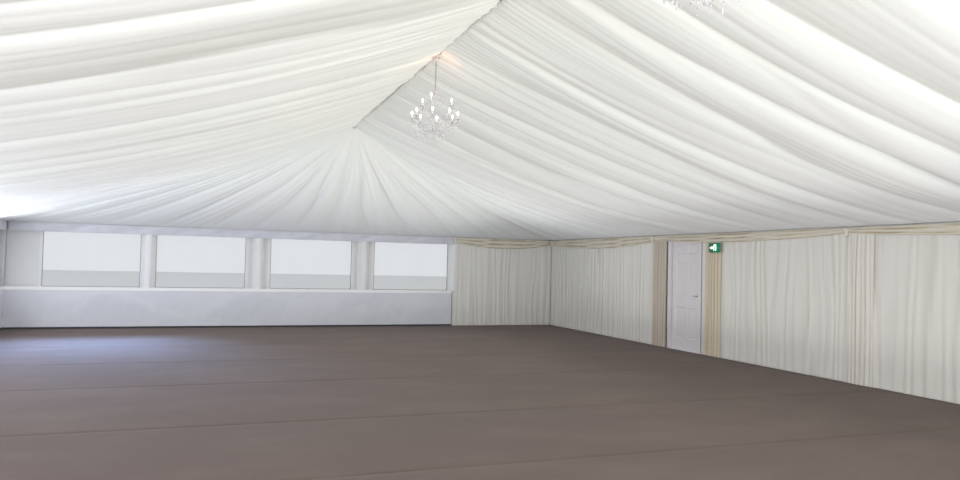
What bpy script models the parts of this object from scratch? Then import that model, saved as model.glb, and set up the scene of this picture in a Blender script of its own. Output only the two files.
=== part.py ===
"""Frame marquee with hipped ends, pleated lining, window walls and a panelled door.

Metres, +Z up. The ridge runs along Y, and the origin is on the ground in the middle of the floor.
Two full bays stand between three frames, and a hipped bay closes each end.
"""
import math

import bpy
import bmesh
from mathutils import Matrix, Vector

# Overall plan, to the outer faces of the legs
SPAN = 12.0
BAY = 4.6
FULL_BAYS = 2
HIP_BAY = 4.6

# Eaves and roof
LEG_HEIGHT = 2.12
RAIL_DEPTH = 0.10
ROOF_SLOPE = 0.28
RAFTER_END = 0.08

# Aluminium sections
SECTION_DEPTH = 0.12
SECTION_WIDTH = 0.068
RAFTER_DEPTH = 0.127
RIDGE_BEAM_WIDTH = 0.10
RIDGE_BEAM_DEPTH = 0.075
HUB_LENGTH = 0.066
HUB_CLEARANCE = 0.012
FOOT_LENGTH = 0.26
FOOT_THICKNESS = 0.012
END_POSTS = (1.15, 3.335)

# Covers
COVER_THICKNESS = 0.008
WALL_TOP_CLEARANCE = 0.012
EAVE_OVERHANG = 0.028
VALANCE_DROP = 0.16
PANE_THICKNESS = 0.003
PANE_MARGIN = 0.04

# Windows
WINDOW_WIDTH = 1.8
WINDOW_SILL = 0.85
WINDOW_HEIGHT = 1.15
FRONT_WINDOWS = (-4.37, -2.3, 0.0, 2.3, 4.37)
BACK_WINDOWS = FRONT_WINDOWS[:-1]
BAY_WINDOW_OFFSET = 1.035

# Door in the +X wall, between the middle frame and the back one
DOOR_CENTRE = 3.645
LEAF_WIDTH = 0.84
LEAF_THICKNESS = 0.04
LEAF_CLEARANCE = 0.005
LEAF_INSET = 0.03
JAMB_WIDTH = 0.07
HEAD_DEPTH = 0.10
STOP_LIP = 0.012
SILL_LIP = 0.006
STILE = 0.11
MUNTIN = 0.10
RAILS = (0.20, 0.16, 0.14, 0.075)
PANEL_SHARES = (0.41, 0.47, 0.12)
PANEL_RECESS = 0.008
HINGE_RADIUS = 0.008
HINGE_GAP = 0.0005
HINGE_LENGTH = 0.10
HINGE_SETBACK = 0.25
HANDLE_HEIGHT = 0.99
HANDLE_SETBACK = 0.055
SPINDLE = 0.008
ROSE_RADIUS = 0.026
ROSE_THICKNESS = 0.009
LEVER_REACH = 0.05
LEVER_LENGTH = 0.12
LEVER_SIZE = 0.018

# Drapes on the frames' right legs, and the curtain drawn up beside the door
CURTAIN_WIDTH = 0.42
CURTAIN_DEPTH = 0.04
CURTAIN_SETBACK = 0.13
DRAPE_WIDTH = 0.43
DRAPE_DEPTH = 0.05
DRAPE_OFFSET = 0.21
LINING_SETBACK = 0.03

# Lining
LINING_THICKNESS = 0.008
LINING_EAVE_RISE = 0.012
FRAME_SAG = 0.155
BAY_SAG = 0.055
HIP_SAG = 0.116
WALL_LINING_THICKNESS = 0.008
LINED_FROM_POST = 0.05
PELMET_DROP = 0.17
PELMET_THICKNESS = 0.039
PELMET_CORNER_GAP = 0.01

# Floor and fixtures
FLOOR_THICKNESS = 0.03
SIGN_WIDTH = 0.28
SIGN_HEIGHT = 0.16
SIGN_THICKNESS = 0.03
SIGN_DROP = 0.165
SIGN_SETBACK = 0.295
LAMP_RADIUS = 0.27
LAMP_DROP = 0.36
LAMP_HEIGHT = 0.575
LAMP_ARMS = 8
LAMP_ARM_THICKNESS = 0.014
LAMP_ARM_DROP = 0.075
CANDLE_RADIUS = 0.014
CANDLE_HEIGHT = 0.11
CHAIN_RADIUS = 0.008

# Gap kept between meshes that touch, and the distance at which points are one
GAP = 0.0003
MERGE_DISTANCE = 1e-5

# Worked out from the sizes above
HALF_SPAN = SPAN / 2
HIP_START = BAY * FULL_BAYS / 2
HALF_LENGTH = HIP_START + HIP_BAY
FRAMES = tuple(-HIP_START + BAY * i for i in range(FULL_BAYS + 1))
LAMP_FRAMES = FRAMES[:-1]
RAIL_TOP = LEG_HEIGHT + RAIL_DEPTH
EAVE_TOP = RAIL_TOP + RAFTER_END
COVER_RIDGE = EAVE_TOP + ROOF_SLOPE * HALF_SPAN
CROWN = HIP_START + SECTION_WIDTH / 2
END_RUN = HALF_LENGTH - CROWN
END_SLOPE = ROOF_SLOPE * HALF_SPAN / END_RUN
INNER_X = HALF_SPAN - SECTION_DEPTH
INNER_Y = HALF_LENGTH - SECTION_DEPTH
BEAM_TOP = COVER_RIDGE - GAP - RAFTER_DEPTH - ROOF_SLOPE * RIDGE_BEAM_WIDTH / 2
BEAM_BOTTOM = BEAM_TOP - RIDGE_BEAM_DEPTH
LINING_RIDGE = BEAM_BOTTOM - GAP
LINING_EAVE = LEG_HEIGHT + LINING_EAVE_RISE + LINING_THICKNESS
WALL_OUTER = GAP + COVER_THICKNESS
LEAF_BOTTOM = FLOOR_THICKNESS + LEAF_CLEARANCE
OPENING_HALF = LEAF_WIDTH / 2 + LEAF_CLEARANCE
OPENING_TOP = LEG_HEIGHT - GAP - HEAD_DEPTH
LEAF_HEIGHT = OPENING_TOP - LEAF_CLEARANCE - LEAF_BOTTOM
LEAF_OUTER = HALF_SPAN - LEAF_INSET
LEAF_INNER = LEAF_OUTER - LEAF_THICKNESS
DOOR_FRONT = DOOR_CENTRE - OPENING_HALF - JAMB_WIDTH
DOOR_BACK = DOOR_CENTRE + OPENING_HALF + JAMB_WIDTH
HINGE_X = LEAF_OUTER + HINGE_GAP + HINGE_RADIUS
HINGE_Y = DOOR_CENTRE + LEAF_WIDTH / 2

MATERIALS = {
    "aluminium": ((0.62, 0.63, 0.65), 0.38, 1.0),
    "roof_pvc": ((0.86, 0.87, 0.87), 0.42, 0.0),
    "wall_pvc": ((0.84, 0.85, 0.86), 0.45, 0.0),
    "window_film": ((0.80, 0.86, 0.88), 0.08, 0.0),
    "roof_lining": ((0.86, 0.84, 0.80), 0.85, 0.0),
    "wall_lining": ((0.82, 0.77, 0.68), 0.85, 0.0),
    "pelmet": ((0.80, 0.76, 0.68), 0.85, 0.0),
    "curtain": ((0.80, 0.75, 0.66), 0.85, 0.0),
    "carpet": ((0.22, 0.19, 0.18), 0.95, 0.0),
    "sign_green": ((0.04, 0.42, 0.22), 0.40, 0.0),
    "door_paint": ((0.84, 0.81, 0.80), 0.40, 0.0),
    "handle_chrome": ((0.75, 0.75, 0.76), 0.15, 1.0),
    "crystal": ((0.90, 0.90, 0.88), 0.10, 0.0),
}


def clear_scene():
    """Remove what the start-up scene holds."""
    for obj in list(bpy.data.objects):
        bpy.data.objects.remove(obj, do_unlink=True)


def material(name, node):
    """Make the node's own material from a finish in the table."""
    colour, roughness, metallic = MATERIALS[name]
    mat = bpy.data.materials.new(f"{node}_{name}")
    mat.use_nodes = True
    shader = mat.node_tree.nodes["Principled BSDF"]
    shader.inputs["Base Color"].default_value = (*colour, 1.0)
    shader.inputs["Roughness"].default_value = roughness
    shader.inputs["Metallic"].default_value = metallic
    return mat


def add_object(name, bm, finish):
    """Turn a bmesh into a named object with its own finish."""
    bmesh.ops.recalc_face_normals(bm, faces=bm.faces)
    mesh = bpy.data.meshes.new(name)
    bm.to_mesh(mesh)
    bm.free()
    obj = bpy.data.objects.new(name, mesh)
    bpy.context.scene.collection.objects.link(obj)
    mesh.materials.append(material(finish, name))
    return obj


def combine(body, tool, operation):
    """Join a helper object to a body, or cut it out of the body."""
    tool.hide_render = True
    tool.display_type = "WIRE"
    step = body.modifiers.new(tool.name, "BOOLEAN")
    step.operation = operation
    step.object = tool


def prism(points, start, end, place):
    """Extrude a flat outline between two depths; place turns (u, v, depth) into a point."""
    bm = bmesh.new()
    near = [bm.verts.new(place(u, v, start)) for u, v in points]
    far = [bm.verts.new(place(u, v, end)) for u, v in points]
    bm.faces.new(near)
    bm.faces.new(list(reversed(far)))
    count = len(points)
    for i in range(count):
        j = (i + 1) % count
        bm.faces.new((near[i], far[i], far[j], near[j]))
    return bm


def prism_along_y(points, y0, y1):
    """Outline in X and Z, extruded along Y."""
    return prism(points, y0, y1, lambda u, v, d: Vector((u, d, v)))


def prism_along_x(points, x0, x1):
    """Outline in Y and Z, extruded along X."""
    return prism(points, x0, x1, lambda u, v, d: Vector((d, u, v)))


def block(low, high):
    """Box between two corners."""
    outline = [(low[0], low[2]), (high[0], low[2]), (high[0], high[2]), (low[0], high[2])]
    return prism_along_y(outline, low[1], high[1])


def mirror_x(bm):
    """Turn a mesh over to the other side of the ridge."""
    bmesh.ops.transform(bm, matrix=Matrix.Scale(-1, 4, (1, 0, 0)), verts=bm.verts)


def mirror_y(bm):
    """Turn a mesh over to the other end."""
    bmesh.ops.transform(bm, matrix=Matrix.Scale(-1, 4, (0, 1, 0)), verts=bm.verts)


def cut(bm, point, outward):
    """Cut away what lies past a plane and close the cut."""
    geom = bm.verts[:] + bm.edges[:] + bm.faces[:]
    result = bmesh.ops.bisect_plane(
        bm, geom=geom, dist=MERGE_DISTANCE / 10, plane_co=point, plane_no=outward, clear_outer=True
    )
    edges = [item for item in result["geom_cut"] if isinstance(item, bmesh.types.BMEdge)]
    bmesh.ops.edgenet_fill(bm, edges=edges)


def cover_under(x):
    """Height of the underside of the side slopes' cover."""
    return COVER_RIDGE - ROOF_SLOPE * abs(x)


def leg_outline(centre):
    """Leg and foot plate, seen along X."""
    half, foot = SECTION_WIDTH / 2, FOOT_LENGTH / 2
    top = LEG_HEIGHT - GAP
    right = [(foot, 0.0), (foot, FOOT_THICKNESS), (half, FOOT_THICKNESS), (half, top)]
    left = [(-u, v) for u, v in reversed(right)]
    return [(centre + u, v) for u, v in right + left]


def add_leg(name, side, centre):
    """One leg with its foot plate; side is +1 or -1."""
    bm = prism_along_x(leg_outline(centre), INNER_X, HALF_SPAN)
    if side < 0:
        mirror_x(bm)
    add_object(name, bm, "aluminium")


def add_legs():
    """Legs of the three frames."""
    for number, y in enumerate(FRAMES, start=1):
        for side, word in ((-1, "left"), (1, "right")):
            add_leg(f"frame_{number}_{word}_leg", side, y)


def rafter_outline():
    """Rafter of the +X side, from its seat on the rail to the ridge."""
    seat = RAIL_TOP + GAP
    under_ridge = COVER_RIDGE - GAP - RAFTER_DEPTH
    seat_inner = (under_ridge - seat) / ROOF_SLOPE
    start = GAP / 2
    return [
        (start, cover_under(start) - GAP),
        (HALF_SPAN, cover_under(HALF_SPAN) - GAP),
        (HALF_SPAN, seat),
        (seat_inner, seat),
        (RIDGE_BEAM_WIDTH / 2, BEAM_TOP + GAP),
        (start, BEAM_TOP + GAP),
    ]


def add_rafters():
    """Two rafters a frame, which meet over the ridge beam."""
    half = SECTION_WIDTH / 2
    for number, y in enumerate(FRAMES, start=1):
        for side, word in ((-1, "left"), (1, "right")):
            bm = prism_along_y(rafter_outline(), y - half, y + half)
            if side < 0:
                mirror_x(bm)
            add_object(f"frame_{number}_{word}_rafter", bm, "aluminium")


def add_ridge_beam():
    """Beam under the rafters, with an upturned hub at each end for the hip rafters."""
    inner = CROWN + GAP
    outer = inner + HUB_LENGTH
    hub_top = COVER_RIDGE - END_SLOPE * (outer - CROWN) - HUB_CLEARANCE
    right = [(outer, BEAM_BOTTOM), (outer, hub_top), (inner, hub_top), (inner, BEAM_TOP)]
    left = [(-u, v) for u, v in reversed(right)]
    half = RIDGE_BEAM_WIDTH / 2
    add_object("ridge_beam", prism_along_x(right + left, -half, half), "aluminium")


def add_side_rails():
    """Eaves rails on the legs of the two long sides."""
    for side, word in ((-1, "left"), (1, "right")):
        bm = block((INNER_X, -INNER_Y + GAP, LEG_HEIGHT), (HALF_SPAN, INNER_Y - GAP, RAIL_TOP))
        if side < 0:
            mirror_x(bm)
        add_object(f"{word}_eaves_rail", bm, "aluminium")


def end_frame_outline():
    """Eaves rail, corner legs and posts of an end, as one comb seen along Y."""
    half, foot = SECTION_WIDTH / 2, FOOT_LENGTH / 2
    spans = [(-HALF_SPAN, -INNER_X, -HALF_SPAN, -INNER_X + foot)]
    for x in sorted([-p for p in END_POSTS] + list(END_POSTS)):
        spans.append((x - half, x + half, x - foot, x + foot))
    spans.append((INNER_X, HALF_SPAN, INNER_X - foot, HALF_SPAN))
    points = [(-HALF_SPAN, RAIL_TOP)]
    for a, b, foot_a, foot_b in spans:
        if a > -HALF_SPAN:
            points += [(a, LEG_HEIGHT), (a, FOOT_THICKNESS), (foot_a, FOOT_THICKNESS)]
        points += [(foot_a, 0.0), (foot_b, 0.0)]
        if b < HALF_SPAN:
            points += [(foot_b, FOOT_THICKNESS), (b, FOOT_THICKNESS), (b, LEG_HEIGHT)]
    points.append((HALF_SPAN, RAIL_TOP))
    return points


def add_end_frames():
    """Front end at -Y, back end at +Y."""
    for end, word in ((-1, "front"), (1, "back")):
        bm = prism_along_y(end_frame_outline(), INNER_Y, HALF_LENGTH)
        if end < 0:
            mirror_y(bm)
        add_object(f"{word}_end_frame", bm, "aluminium")


def hip_rafter():
    """Hip rafter of the corner at +X and +Y, from the ridge hub to the eaves corner."""
    plan = Vector((HALF_SPAN, END_RUN, 0.0))
    length = plan.length
    fall = ROOF_SLOPE * HALF_SPAN / length
    half = SECTION_WIDTH / 2
    crown_drop = END_SLOPE * HALF_SPAN / length * half + GAP
    seat = RAIL_TOP + GAP
    top = COVER_RIDGE - crown_drop
    seat_at = (top - RAFTER_DEPTH - seat) / fall
    outline = [
        (0.0, top),
        (length, top - fall * length),
        (length, seat),
        (seat_at, seat),
        (0.0, top - RAFTER_DEPTH),
    ]
    bm = prism_along_y(outline, -half, half)
    turn = Matrix.Rotation(math.atan2(plan.y, plan.x), 4, "Z")
    bmesh.ops.transform(bm, matrix=Matrix.Translation((0, CROWN, 0)) @ turn, verts=bm.verts)
    cut(bm, (RIDGE_BEAM_WIDTH / 2 + GAP, 0, 0), (-1, 0, 0))
    cut(bm, (0, CROWN + GAP, 0), (0, -1, 0))
    cut(bm, (HALF_SPAN, 0, 0), (1, 0, 0))
    cut(bm, (0, HALF_LENGTH, 0), (0, 1, 0))
    return bm


def add_hip_rafters():
    """One hip rafter to each corner."""
    for end, end_word in ((-1, "front"), (1, "back")):
        for side, word in ((-1, "left"), (1, "right")):
            bm = hip_rafter()
            if side < 0:
                mirror_x(bm)
            if end < 0:
                mirror_y(bm)
            add_object(f"{end_word}_{word}_hip_rafter", bm, "aluminium")


def slope_profile(reach, overhang, slope):
    """Sheet with its valance: distance out from the ridge line against height."""
    edge = reach + overhang
    lip = edge - COVER_THICKNESS
    under_edge = COVER_RIDGE - slope * edge
    return [
        (0.0, COVER_RIDGE),
        (0.0, COVER_RIDGE + COVER_THICKNESS),
        (edge, under_edge + COVER_THICKNESS),
        (edge, under_edge - VALANCE_DROP),
        (lip, under_edge - VALANCE_DROP),
        (lip, COVER_RIDGE - slope * lip),
    ]


def hip_cut(bm, outward_sign):
    """Cut along the vertical plane over the hip at +X and +Y."""
    normal = Vector((-END_RUN, HALF_SPAN, 0.0)).normalized() * outward_sign
    point = Vector((0, CROWN, 0)) - normal * (GAP / 2)
    cut(bm, point, normal)


def add_side_covers():
    """Roof covers of the two long slopes, mitred at the hips."""
    for side, word in ((-1, "left"), (1, "right")):
        profile = slope_profile(HALF_SPAN, EAVE_OVERHANG, ROOF_SLOPE)
        profile = [(max(u, GAP / 2), v) for u, v in profile]
        reach = HALF_LENGTH + 2 * EAVE_OVERHANG
        bm = prism_along_y(profile, -reach, reach)
        hip_cut(bm, 1)
        mirror_y(bm)
        hip_cut(bm, 1)
        if side < 0:
            mirror_x(bm)
        add_object(f"{word}_roof_cover", bm, "roof_pvc")


def add_hip_covers():
    """Roof covers of the two hipped ends."""
    overhang = EAVE_OVERHANG * END_RUN / HALF_SPAN
    for end, word in ((-1, "front"), (1, "back")):
        profile = [(CROWN + u, v) for u, v in slope_profile(END_RUN, overhang, END_SLOPE)]
        reach = HALF_SPAN + 2 * EAVE_OVERHANG
        bm = prism_along_x(profile, -reach, reach)
        hip_cut(bm, -1)
        mirror_x(bm)
        hip_cut(bm, -1)
        if end < 0:
            mirror_y(bm)
        add_object(f"{word}_hip_cover", bm, "roof_pvc")


def wall_height():
    """Top of the wall fabric, close under the roof cover."""
    return EAVE_TOP - WALL_TOP_CLEARANCE


def windowed_sheet(low, high, centres, thickness, place):
    """Upright sheet along one wall with a row of window holes, as one closed solid."""
    half = WINDOW_WIDTH / 2
    stops = [low]
    for centre in centres:
        stops += [centre - half, centre + half]
    stops.append(high)
    levels = [0.0, WINDOW_SILL, WINDOW_SILL + WINDOW_HEIGHT, wall_height()]
    bm = bmesh.new()
    verts = {}
    for i, u in enumerate(stops):
        for j, v in enumerate(levels):
            for k, d in enumerate((0.0, thickness)):
                verts[i, j, k] = bm.verts.new(place(u, v, d))

    def solid(i, j):
        inside = 0 <= i < len(stops) - 1 and 0 <= j < len(levels) - 1
        return inside and not (i % 2 == 1 and j == 1)

    for i in range(len(stops) - 1):
        for j in range(len(levels) - 1):
            if not solid(i, j):
                continue
            ring = [(i, j), (i + 1, j), (i + 1, j + 1), (i, j + 1)]
            bm.faces.new([verts[a, b, 0] for a, b in ring])
            bm.faces.new([verts[a, b, 1] for a, b in reversed(ring)])
            sides = (((i, j - 1), 0, 1), ((i + 1, j), 1, 2), ((i, j + 1), 2, 3), ((i - 1, j), 3, 0))
            for neighbour, a, b in sides:
                if not solid(*neighbour):
                    p, q = ring[a], ring[b]
                    bm.faces.new((verts[(*p, 0)], verts[(*p, 1)], verts[(*q, 1)], verts[(*q, 0)]))
    return bm


def side_window_centres():
    """Two windows in each bay of a long wall."""
    bays = [(a + b) / 2 for a, b in zip(FRAMES[:-1], FRAMES[1:])]
    hip_middle = HIP_START + HIP_BAY / 2
    bays = [-hip_middle] + bays + [hip_middle]
    return [y + offset for y in bays for offset in (-BAY_WINDOW_OFFSET, BAY_WINDOW_OFFSET)]


def add_end_walls():
    """Window walls of the two ends."""
    edge = HALF_SPAN - GAP
    for end, word, windows in ((-1, "front", FRONT_WINDOWS), (1, "back", BACK_WINDOWS)):
        bm = windowed_sheet(
            -edge, edge, windows, COVER_THICKNESS,
            lambda u, v, d: Vector((u, HALF_LENGTH + GAP + d, v)),
        )
        if end < 0:
            mirror_y(bm)
        add_object(f"{word}_wall", bm, "wall_pvc")


def add_side_walls():
    """Window wall on the left, and on the right the plain wall on both sides of the door."""
    edge = HALF_LENGTH + WALL_OUTER
    bm = windowed_sheet(
        -edge, edge, side_window_centres(), COVER_THICKNESS,
        lambda u, v, d: Vector((-HALF_SPAN - GAP - d, u, v)),
    )
    add_object("left_wall", bm, "wall_pvc")
    inner, outer, top = HALF_SPAN + GAP, HALF_SPAN + WALL_OUTER, wall_height()
    add_object("right_wall_front", block((inner, -edge, 0), (outer, DOOR_FRONT, top)), "wall_pvc")
    add_object("right_wall_back", block((inner, DOOR_BACK, 0), (outer, edge, top)), "wall_pvc")


def add_panes():
    """Clear film over the windows of each wall."""
    low = WINDOW_SILL - PANE_MARGIN
    high = WINDOW_SILL + WINDOW_HEIGHT + PANE_MARGIN
    margin = WINDOW_WIDTH / 2 + PANE_MARGIN
    inner = WALL_OUTER + GAP
    outer = inner + PANE_THICKNESS
    for end, word, windows in ((-1, "front", FRONT_WINDOWS), (1, "back", BACK_WINDOWS)):
        left, right = min(windows) - margin, max(windows) + margin
        bm = block((left, HALF_LENGTH + inner, low), (right, HALF_LENGTH + outer, high))
        if end < 0:
            mirror_y(bm)
        add_object(f"{word}_window_film", bm, "window_film")
    reach = max(side_window_centres()) + margin
    bm = block((-HALF_SPAN - outer, -reach, low), (-HALF_SPAN - inner, reach, high))
    add_object("left_window_film", bm, "window_film")


def thin_sheet(rows, thickness):
    """Closed sheet from rows of points on its upper face; points may meet at a crown."""
    bm = bmesh.new()
    drop = Vector((0, 0, -thickness))
    top = [[bm.verts.new(p) for p in row] for row in rows]
    under = [[bm.verts.new(p + drop) for p in row] for row in rows]
    last_row, last = len(rows) - 1, len(rows[0]) - 1
    for r in range(last_row):
        for c in range(last):
            bm.faces.new((top[r][c], top[r][c + 1], top[r + 1][c + 1], top[r + 1][c]))
            bm.faces.new((under[r][c], under[r + 1][c], under[r + 1][c + 1], under[r][c + 1]))
        bm.faces.new((top[r][0], top[r + 1][0], under[r + 1][0], under[r][0]))
        bm.faces.new((top[r][last], under[r][last], under[r + 1][last], top[r + 1][last]))
    for c in range(last):
        bm.faces.new((top[0][c], under[0][c], under[0][c + 1], top[0][c + 1]))
        bm.faces.new(
            (top[last_row][c], top[last_row][c + 1], under[last_row][c + 1], under[last_row][c])
        )
    bmesh.ops.remove_doubles(bm, verts=bm.verts, dist=MERGE_DISTANCE)
    return bm


def lining_height(t, sag):
    """Upper face of the roof lining, from the ridge at t = 0 to the eave at t = 1."""
    return LINING_RIDGE + (LINING_EAVE - LINING_RIDGE) * t - 4 * sag * t * (1 - t)


def side_sag(y):
    """Sag of a side slope: deeper between frames than at them, and less out to the hips."""
    if abs(y) <= HIP_START:
        return FRAME_SAG + BAY_SAG * math.sin(math.pi * (y + HIP_START) / BAY) ** 2
    away = (abs(y) - HIP_START) / (INNER_Y - HIP_START)
    return FRAME_SAG + (HIP_SAG - FRAME_SAG) * away


def add_side_linings():
    """Roof lining of the two long slopes, fanned from the crowns out to the hips."""
    down, bay_steps, hip_steps = 12, 8, 6
    corner = INNER_Y - GAP
    middle = [-HIP_START + 2 * HIP_START * i / (bay_steps * FULL_BAYS)
              for i in range(bay_steps * FULL_BAYS + 1)]
    hip = [HIP_START + (corner - HIP_START) * (i + 1) / hip_steps for i in range(hip_steps)]
    eave = [-y for y in reversed(hip)] + middle + hip
    for side, word in ((-1, "left"), (1, "right")):
        rows = []
        for i in range(down + 1):
            t = i / down
            x = GAP / 2 + (INNER_X - 1.5 * GAP) * t
            row = []
            for y in eave:
                ridge_y = max(-HIP_START, min(HIP_START, y))
                z = lining_height(t, side_sag(y))
                row.append(Vector((side * x, ridge_y + (y - ridge_y) * t, z)))
            rows.append(row)
        add_object(f"{word}_roof_lining", thin_sheet(rows, LINING_THICKNESS), "roof_lining")


def add_hip_linings():
    """Roof lining of the two hipped ends, fanned from the crown to the end eave."""
    down, across = 12, 12
    crown = HIP_START + 2 * GAP
    reach = INNER_X - 4 * GAP
    for end, word in ((-1, "front"), (1, "back")):
        rows = []
        for i in range(down + 1):
            t = i / down
            y = end * (crown + (INNER_Y - GAP - crown) * t)
            z = lining_height(t, HIP_SAG)
            row = [Vector((reach * (2 * c / across - 1) * t, y, z)) for c in range(across + 1)]
            rows.append(row)
        add_object(f"{word}_hip_lining", thin_sheet(rows, LINING_THICKNESS), "roof_lining")


def add_wall_linings():
    """Pleated lining of the right wall, beside the door, and of the back wall's right end."""
    outer = INNER_X - GAP
    inner = outer - WALL_LINING_THICKNESS
    low, high = FLOOR_THICKNESS + GAP, LEG_HEIGHT
    edge = INNER_Y - GAP
    front = block((inner, -edge, low), (outer, DOOR_FRONT - LINING_SETBACK, high))
    back = block((inner, DOOR_BACK + LINING_SETBACK, low), (outer, edge, high))
    add_object("right_wall_lining_front", front, "wall_lining")
    add_object("right_wall_lining_back", back, "wall_lining")
    start = max(END_POSTS) - LINED_FROM_POST
    end = block((start, edge - WALL_LINING_THICKNESS, low), (inner - GAP, edge, high))
    add_object("back_wall_lining", end, "wall_lining")


def add_pelmets():
    """Swagged band under the eaves of all four walls."""
    high = LEG_HEIGHT
    low = high - PELMET_DROP
    reach_y = INNER_Y - PELMET_THICKNESS - PELMET_CORNER_GAP
    outer = INNER_X - GAP
    bm = block((-outer, -reach_y, low), (-outer + PELMET_THICKNESS, reach_y, high))
    add_object("left_pelmet", bm, "pelmet")
    outer -= WALL_LINING_THICKNESS + GAP
    bm = block((outer - PELMET_THICKNESS, -reach_y, low), (outer, reach_y, high))
    add_object("right_pelmet", bm, "pelmet")
    reach_x = outer - PELMET_THICKNESS - PELMET_CORNER_GAP
    edge = INNER_Y - GAP
    for end, word, y in ((-1, "front", edge), (1, "back", edge - WALL_LINING_THICKNESS - GAP)):
        bm = block((-reach_x, y - PELMET_THICKNESS, low), (reach_x, y, high))
        if end < 0:
            mirror_y(bm)
        add_object(f"{word}_pelmet", bm, "pelmet")


def add_curtains():
    """Drapes drawn to one side of the frames' right legs, and the curtain beside the door."""
    outer = INNER_X - 2 * GAP - WALL_LINING_THICKNESS
    low, high = FLOOR_THICKNESS + GAP, LEG_HEIGHT - PELMET_DROP - GAP
    half = DRAPE_WIDTH / 2
    for number, frame_y in enumerate(FRAMES, start=1):
        y = frame_y - DRAPE_OFFSET
        bm = block((outer - DRAPE_DEPTH, y - half, low), (outer, y + half, high))
        add_object(f"leg_drape_{number}", bm, "curtain")
    edge = DOOR_FRONT - CURTAIN_SETBACK
    bm = block((outer - CURTAIN_DEPTH, edge - CURTAIN_WIDTH, low), (outer, edge, high))
    add_object("door_curtain", bm, "curtain")


def door_ring(x, side, top, bottom):
    """Upright rectangle about the leaf's middle line: half width, and its top and bottom."""
    y0, y1 = DOOR_CENTRE - side, DOOR_CENTRE + side
    return [Vector((x, y, z)) for y, z in ((y0, bottom), (y1, bottom), (y1, top), (y0, top))]


def add_door_frame():
    """Frame round the leaf: casing, stop, sill and the barrels of the hinges."""
    outside = (OPENING_HALF + JAMB_WIDTH, LEG_HEIGHT - GAP, 0.0)
    opening = (OPENING_HALF, OPENING_TOP, FLOOR_THICKNESS)
    stop = (OPENING_HALF - STOP_LIP, OPENING_TOP - STOP_LIP, FLOOR_THICKNESS + SILL_LIP)
    stop_x = LEAF_INNER - LEAF_CLEARANCE
    section = [
        (HALF_SPAN, outside), (HALF_SPAN, opening), (stop_x, opening),
        (stop_x, stop), (INNER_X, stop), (INNER_X, outside),
    ]
    bm = bmesh.new()
    loops = [[bm.verts.new(p) for p in door_ring(x, *sizes)] for x, sizes in section]
    for loop, following in zip(loops, loops[1:] + loops[:1]):
        for i in range(4):
            j = (i + 1) % 4
            bm.faces.new((loop[i], loop[j], following[j], following[i]))
    frame = add_object("door_frame", bm, "door_paint")
    heights = (HINGE_SETBACK, LEAF_HEIGHT / 2, LEAF_HEIGHT - HINGE_SETBACK)
    half = HINGE_LENGTH / 2
    for number, height in enumerate(heights, start=1):
        profile = [(0, -half), (HINGE_RADIUS, -half), (HINGE_RADIUS, half), (0, half)]
        barrel = add_object(f"hinge_barrel_{number}", turned(profile, 12), "handle_chrome")
        barrel.location = (HINGE_X, HINGE_Y, LEAF_BOTTOM + height)
        combine(frame, barrel, "UNION")


def leaf_lines():
    """Edges of the leaf's panels across its width and up its height."""
    panel = (LEAF_WIDTH - 2 * STILE - MUNTIN) / 2
    across = [0.0, STILE, STILE + panel, LEAF_WIDTH - STILE - panel, LEAF_WIDTH - STILE, LEAF_WIDTH]
    panels = LEAF_HEIGHT - sum(RAILS)
    up = [0.0]
    for rail, share in zip(RAILS, PANEL_SHARES):
        up += [up[-1] + rail, up[-1] + rail + panels * share]
    up.append(LEAF_HEIGHT)
    return across, up


def leaf_mesh():
    """Leaf with six sunk panels on both faces, from its free bottom corner."""
    across, up = leaf_lines()
    columns, rows = len(across) - 1, len(up) - 1
    bm = bmesh.new()
    verts = {}

    def corner(i, j, x):
        if (i, j, x) not in verts:
            verts[i, j, x] = bm.verts.new((x, across[i], up[j]))
        return verts[i, j, x]

    for inset, face in ((PANEL_RECESS, 0.0), (LEAF_THICKNESS - PANEL_RECESS, LEAF_THICKNESS)):
        for i in range(columns):
            for j in range(rows):
                ring = [(i, j), (i + 1, j), (i + 1, j + 1), (i, j + 1)]
                sunk = i % 2 == 1 and j % 2 == 1
                x = inset if sunk else face
                bm.faces.new([corner(*at, x) for at in ring])
                for at, to in zip(ring, ring[1:] + ring[:1]) if sunk else ():
                    bm.faces.new((corner(*at, x), corner(*to, x), corner(*to, face), corner(*at, face)))
    rim = [(i, 0) for i in range(columns)] + [(columns, j) for j in range(rows)]
    rim += [(i, rows) for i in range(columns, 0, -1)] + [(0, j) for j in range(rows, 0, -1)]
    for at, to in zip(rim, rim[1:] + rim[:1]):
        bm.faces.new((
            corner(*at, 0.0), corner(*to, 0.0), corner(*to, LEAF_THICKNESS), corner(*at, LEAF_THICKNESS)
        ))
    return bm


def add_door():
    """Six-panel leaf with a lever on each face, turning about the hinge barrels."""
    axis = bpy.data.objects.new("door_hinge_axis", None)
    bpy.context.scene.collection.objects.link(axis)
    axis.location = (HINGE_X, HINGE_Y, LEAF_BOTTOM)
    inner, free = LEAF_INNER - HINGE_X, DOOR_CENTRE - LEAF_WIDTH / 2 - HINGE_Y

    bm = leaf_mesh()
    bmesh.ops.translate(bm, verts=bm.verts, vec=(inner, free, 0))
    leaf = add_object("door_leaf", bm, "door_paint")
    leaf.parent = axis

    lever_at = (inner + LEAF_THICKNESS / 2, free + HANDLE_SETBACK, HANDLE_HEIGHT)
    hole = SPINDLE / 2 + GAP
    bm = block((-LEAF_THICKNESS, -hole, -hole), (LEAF_THICKNESS, hole, hole))
    cutter = add_object("spindle_hole", bm, "handle_chrome")
    cutter.parent = axis
    cutter.location = lever_at
    combine(leaf, cutter, "DIFFERENCE")
    add_handles(axis, lever_at)


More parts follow.
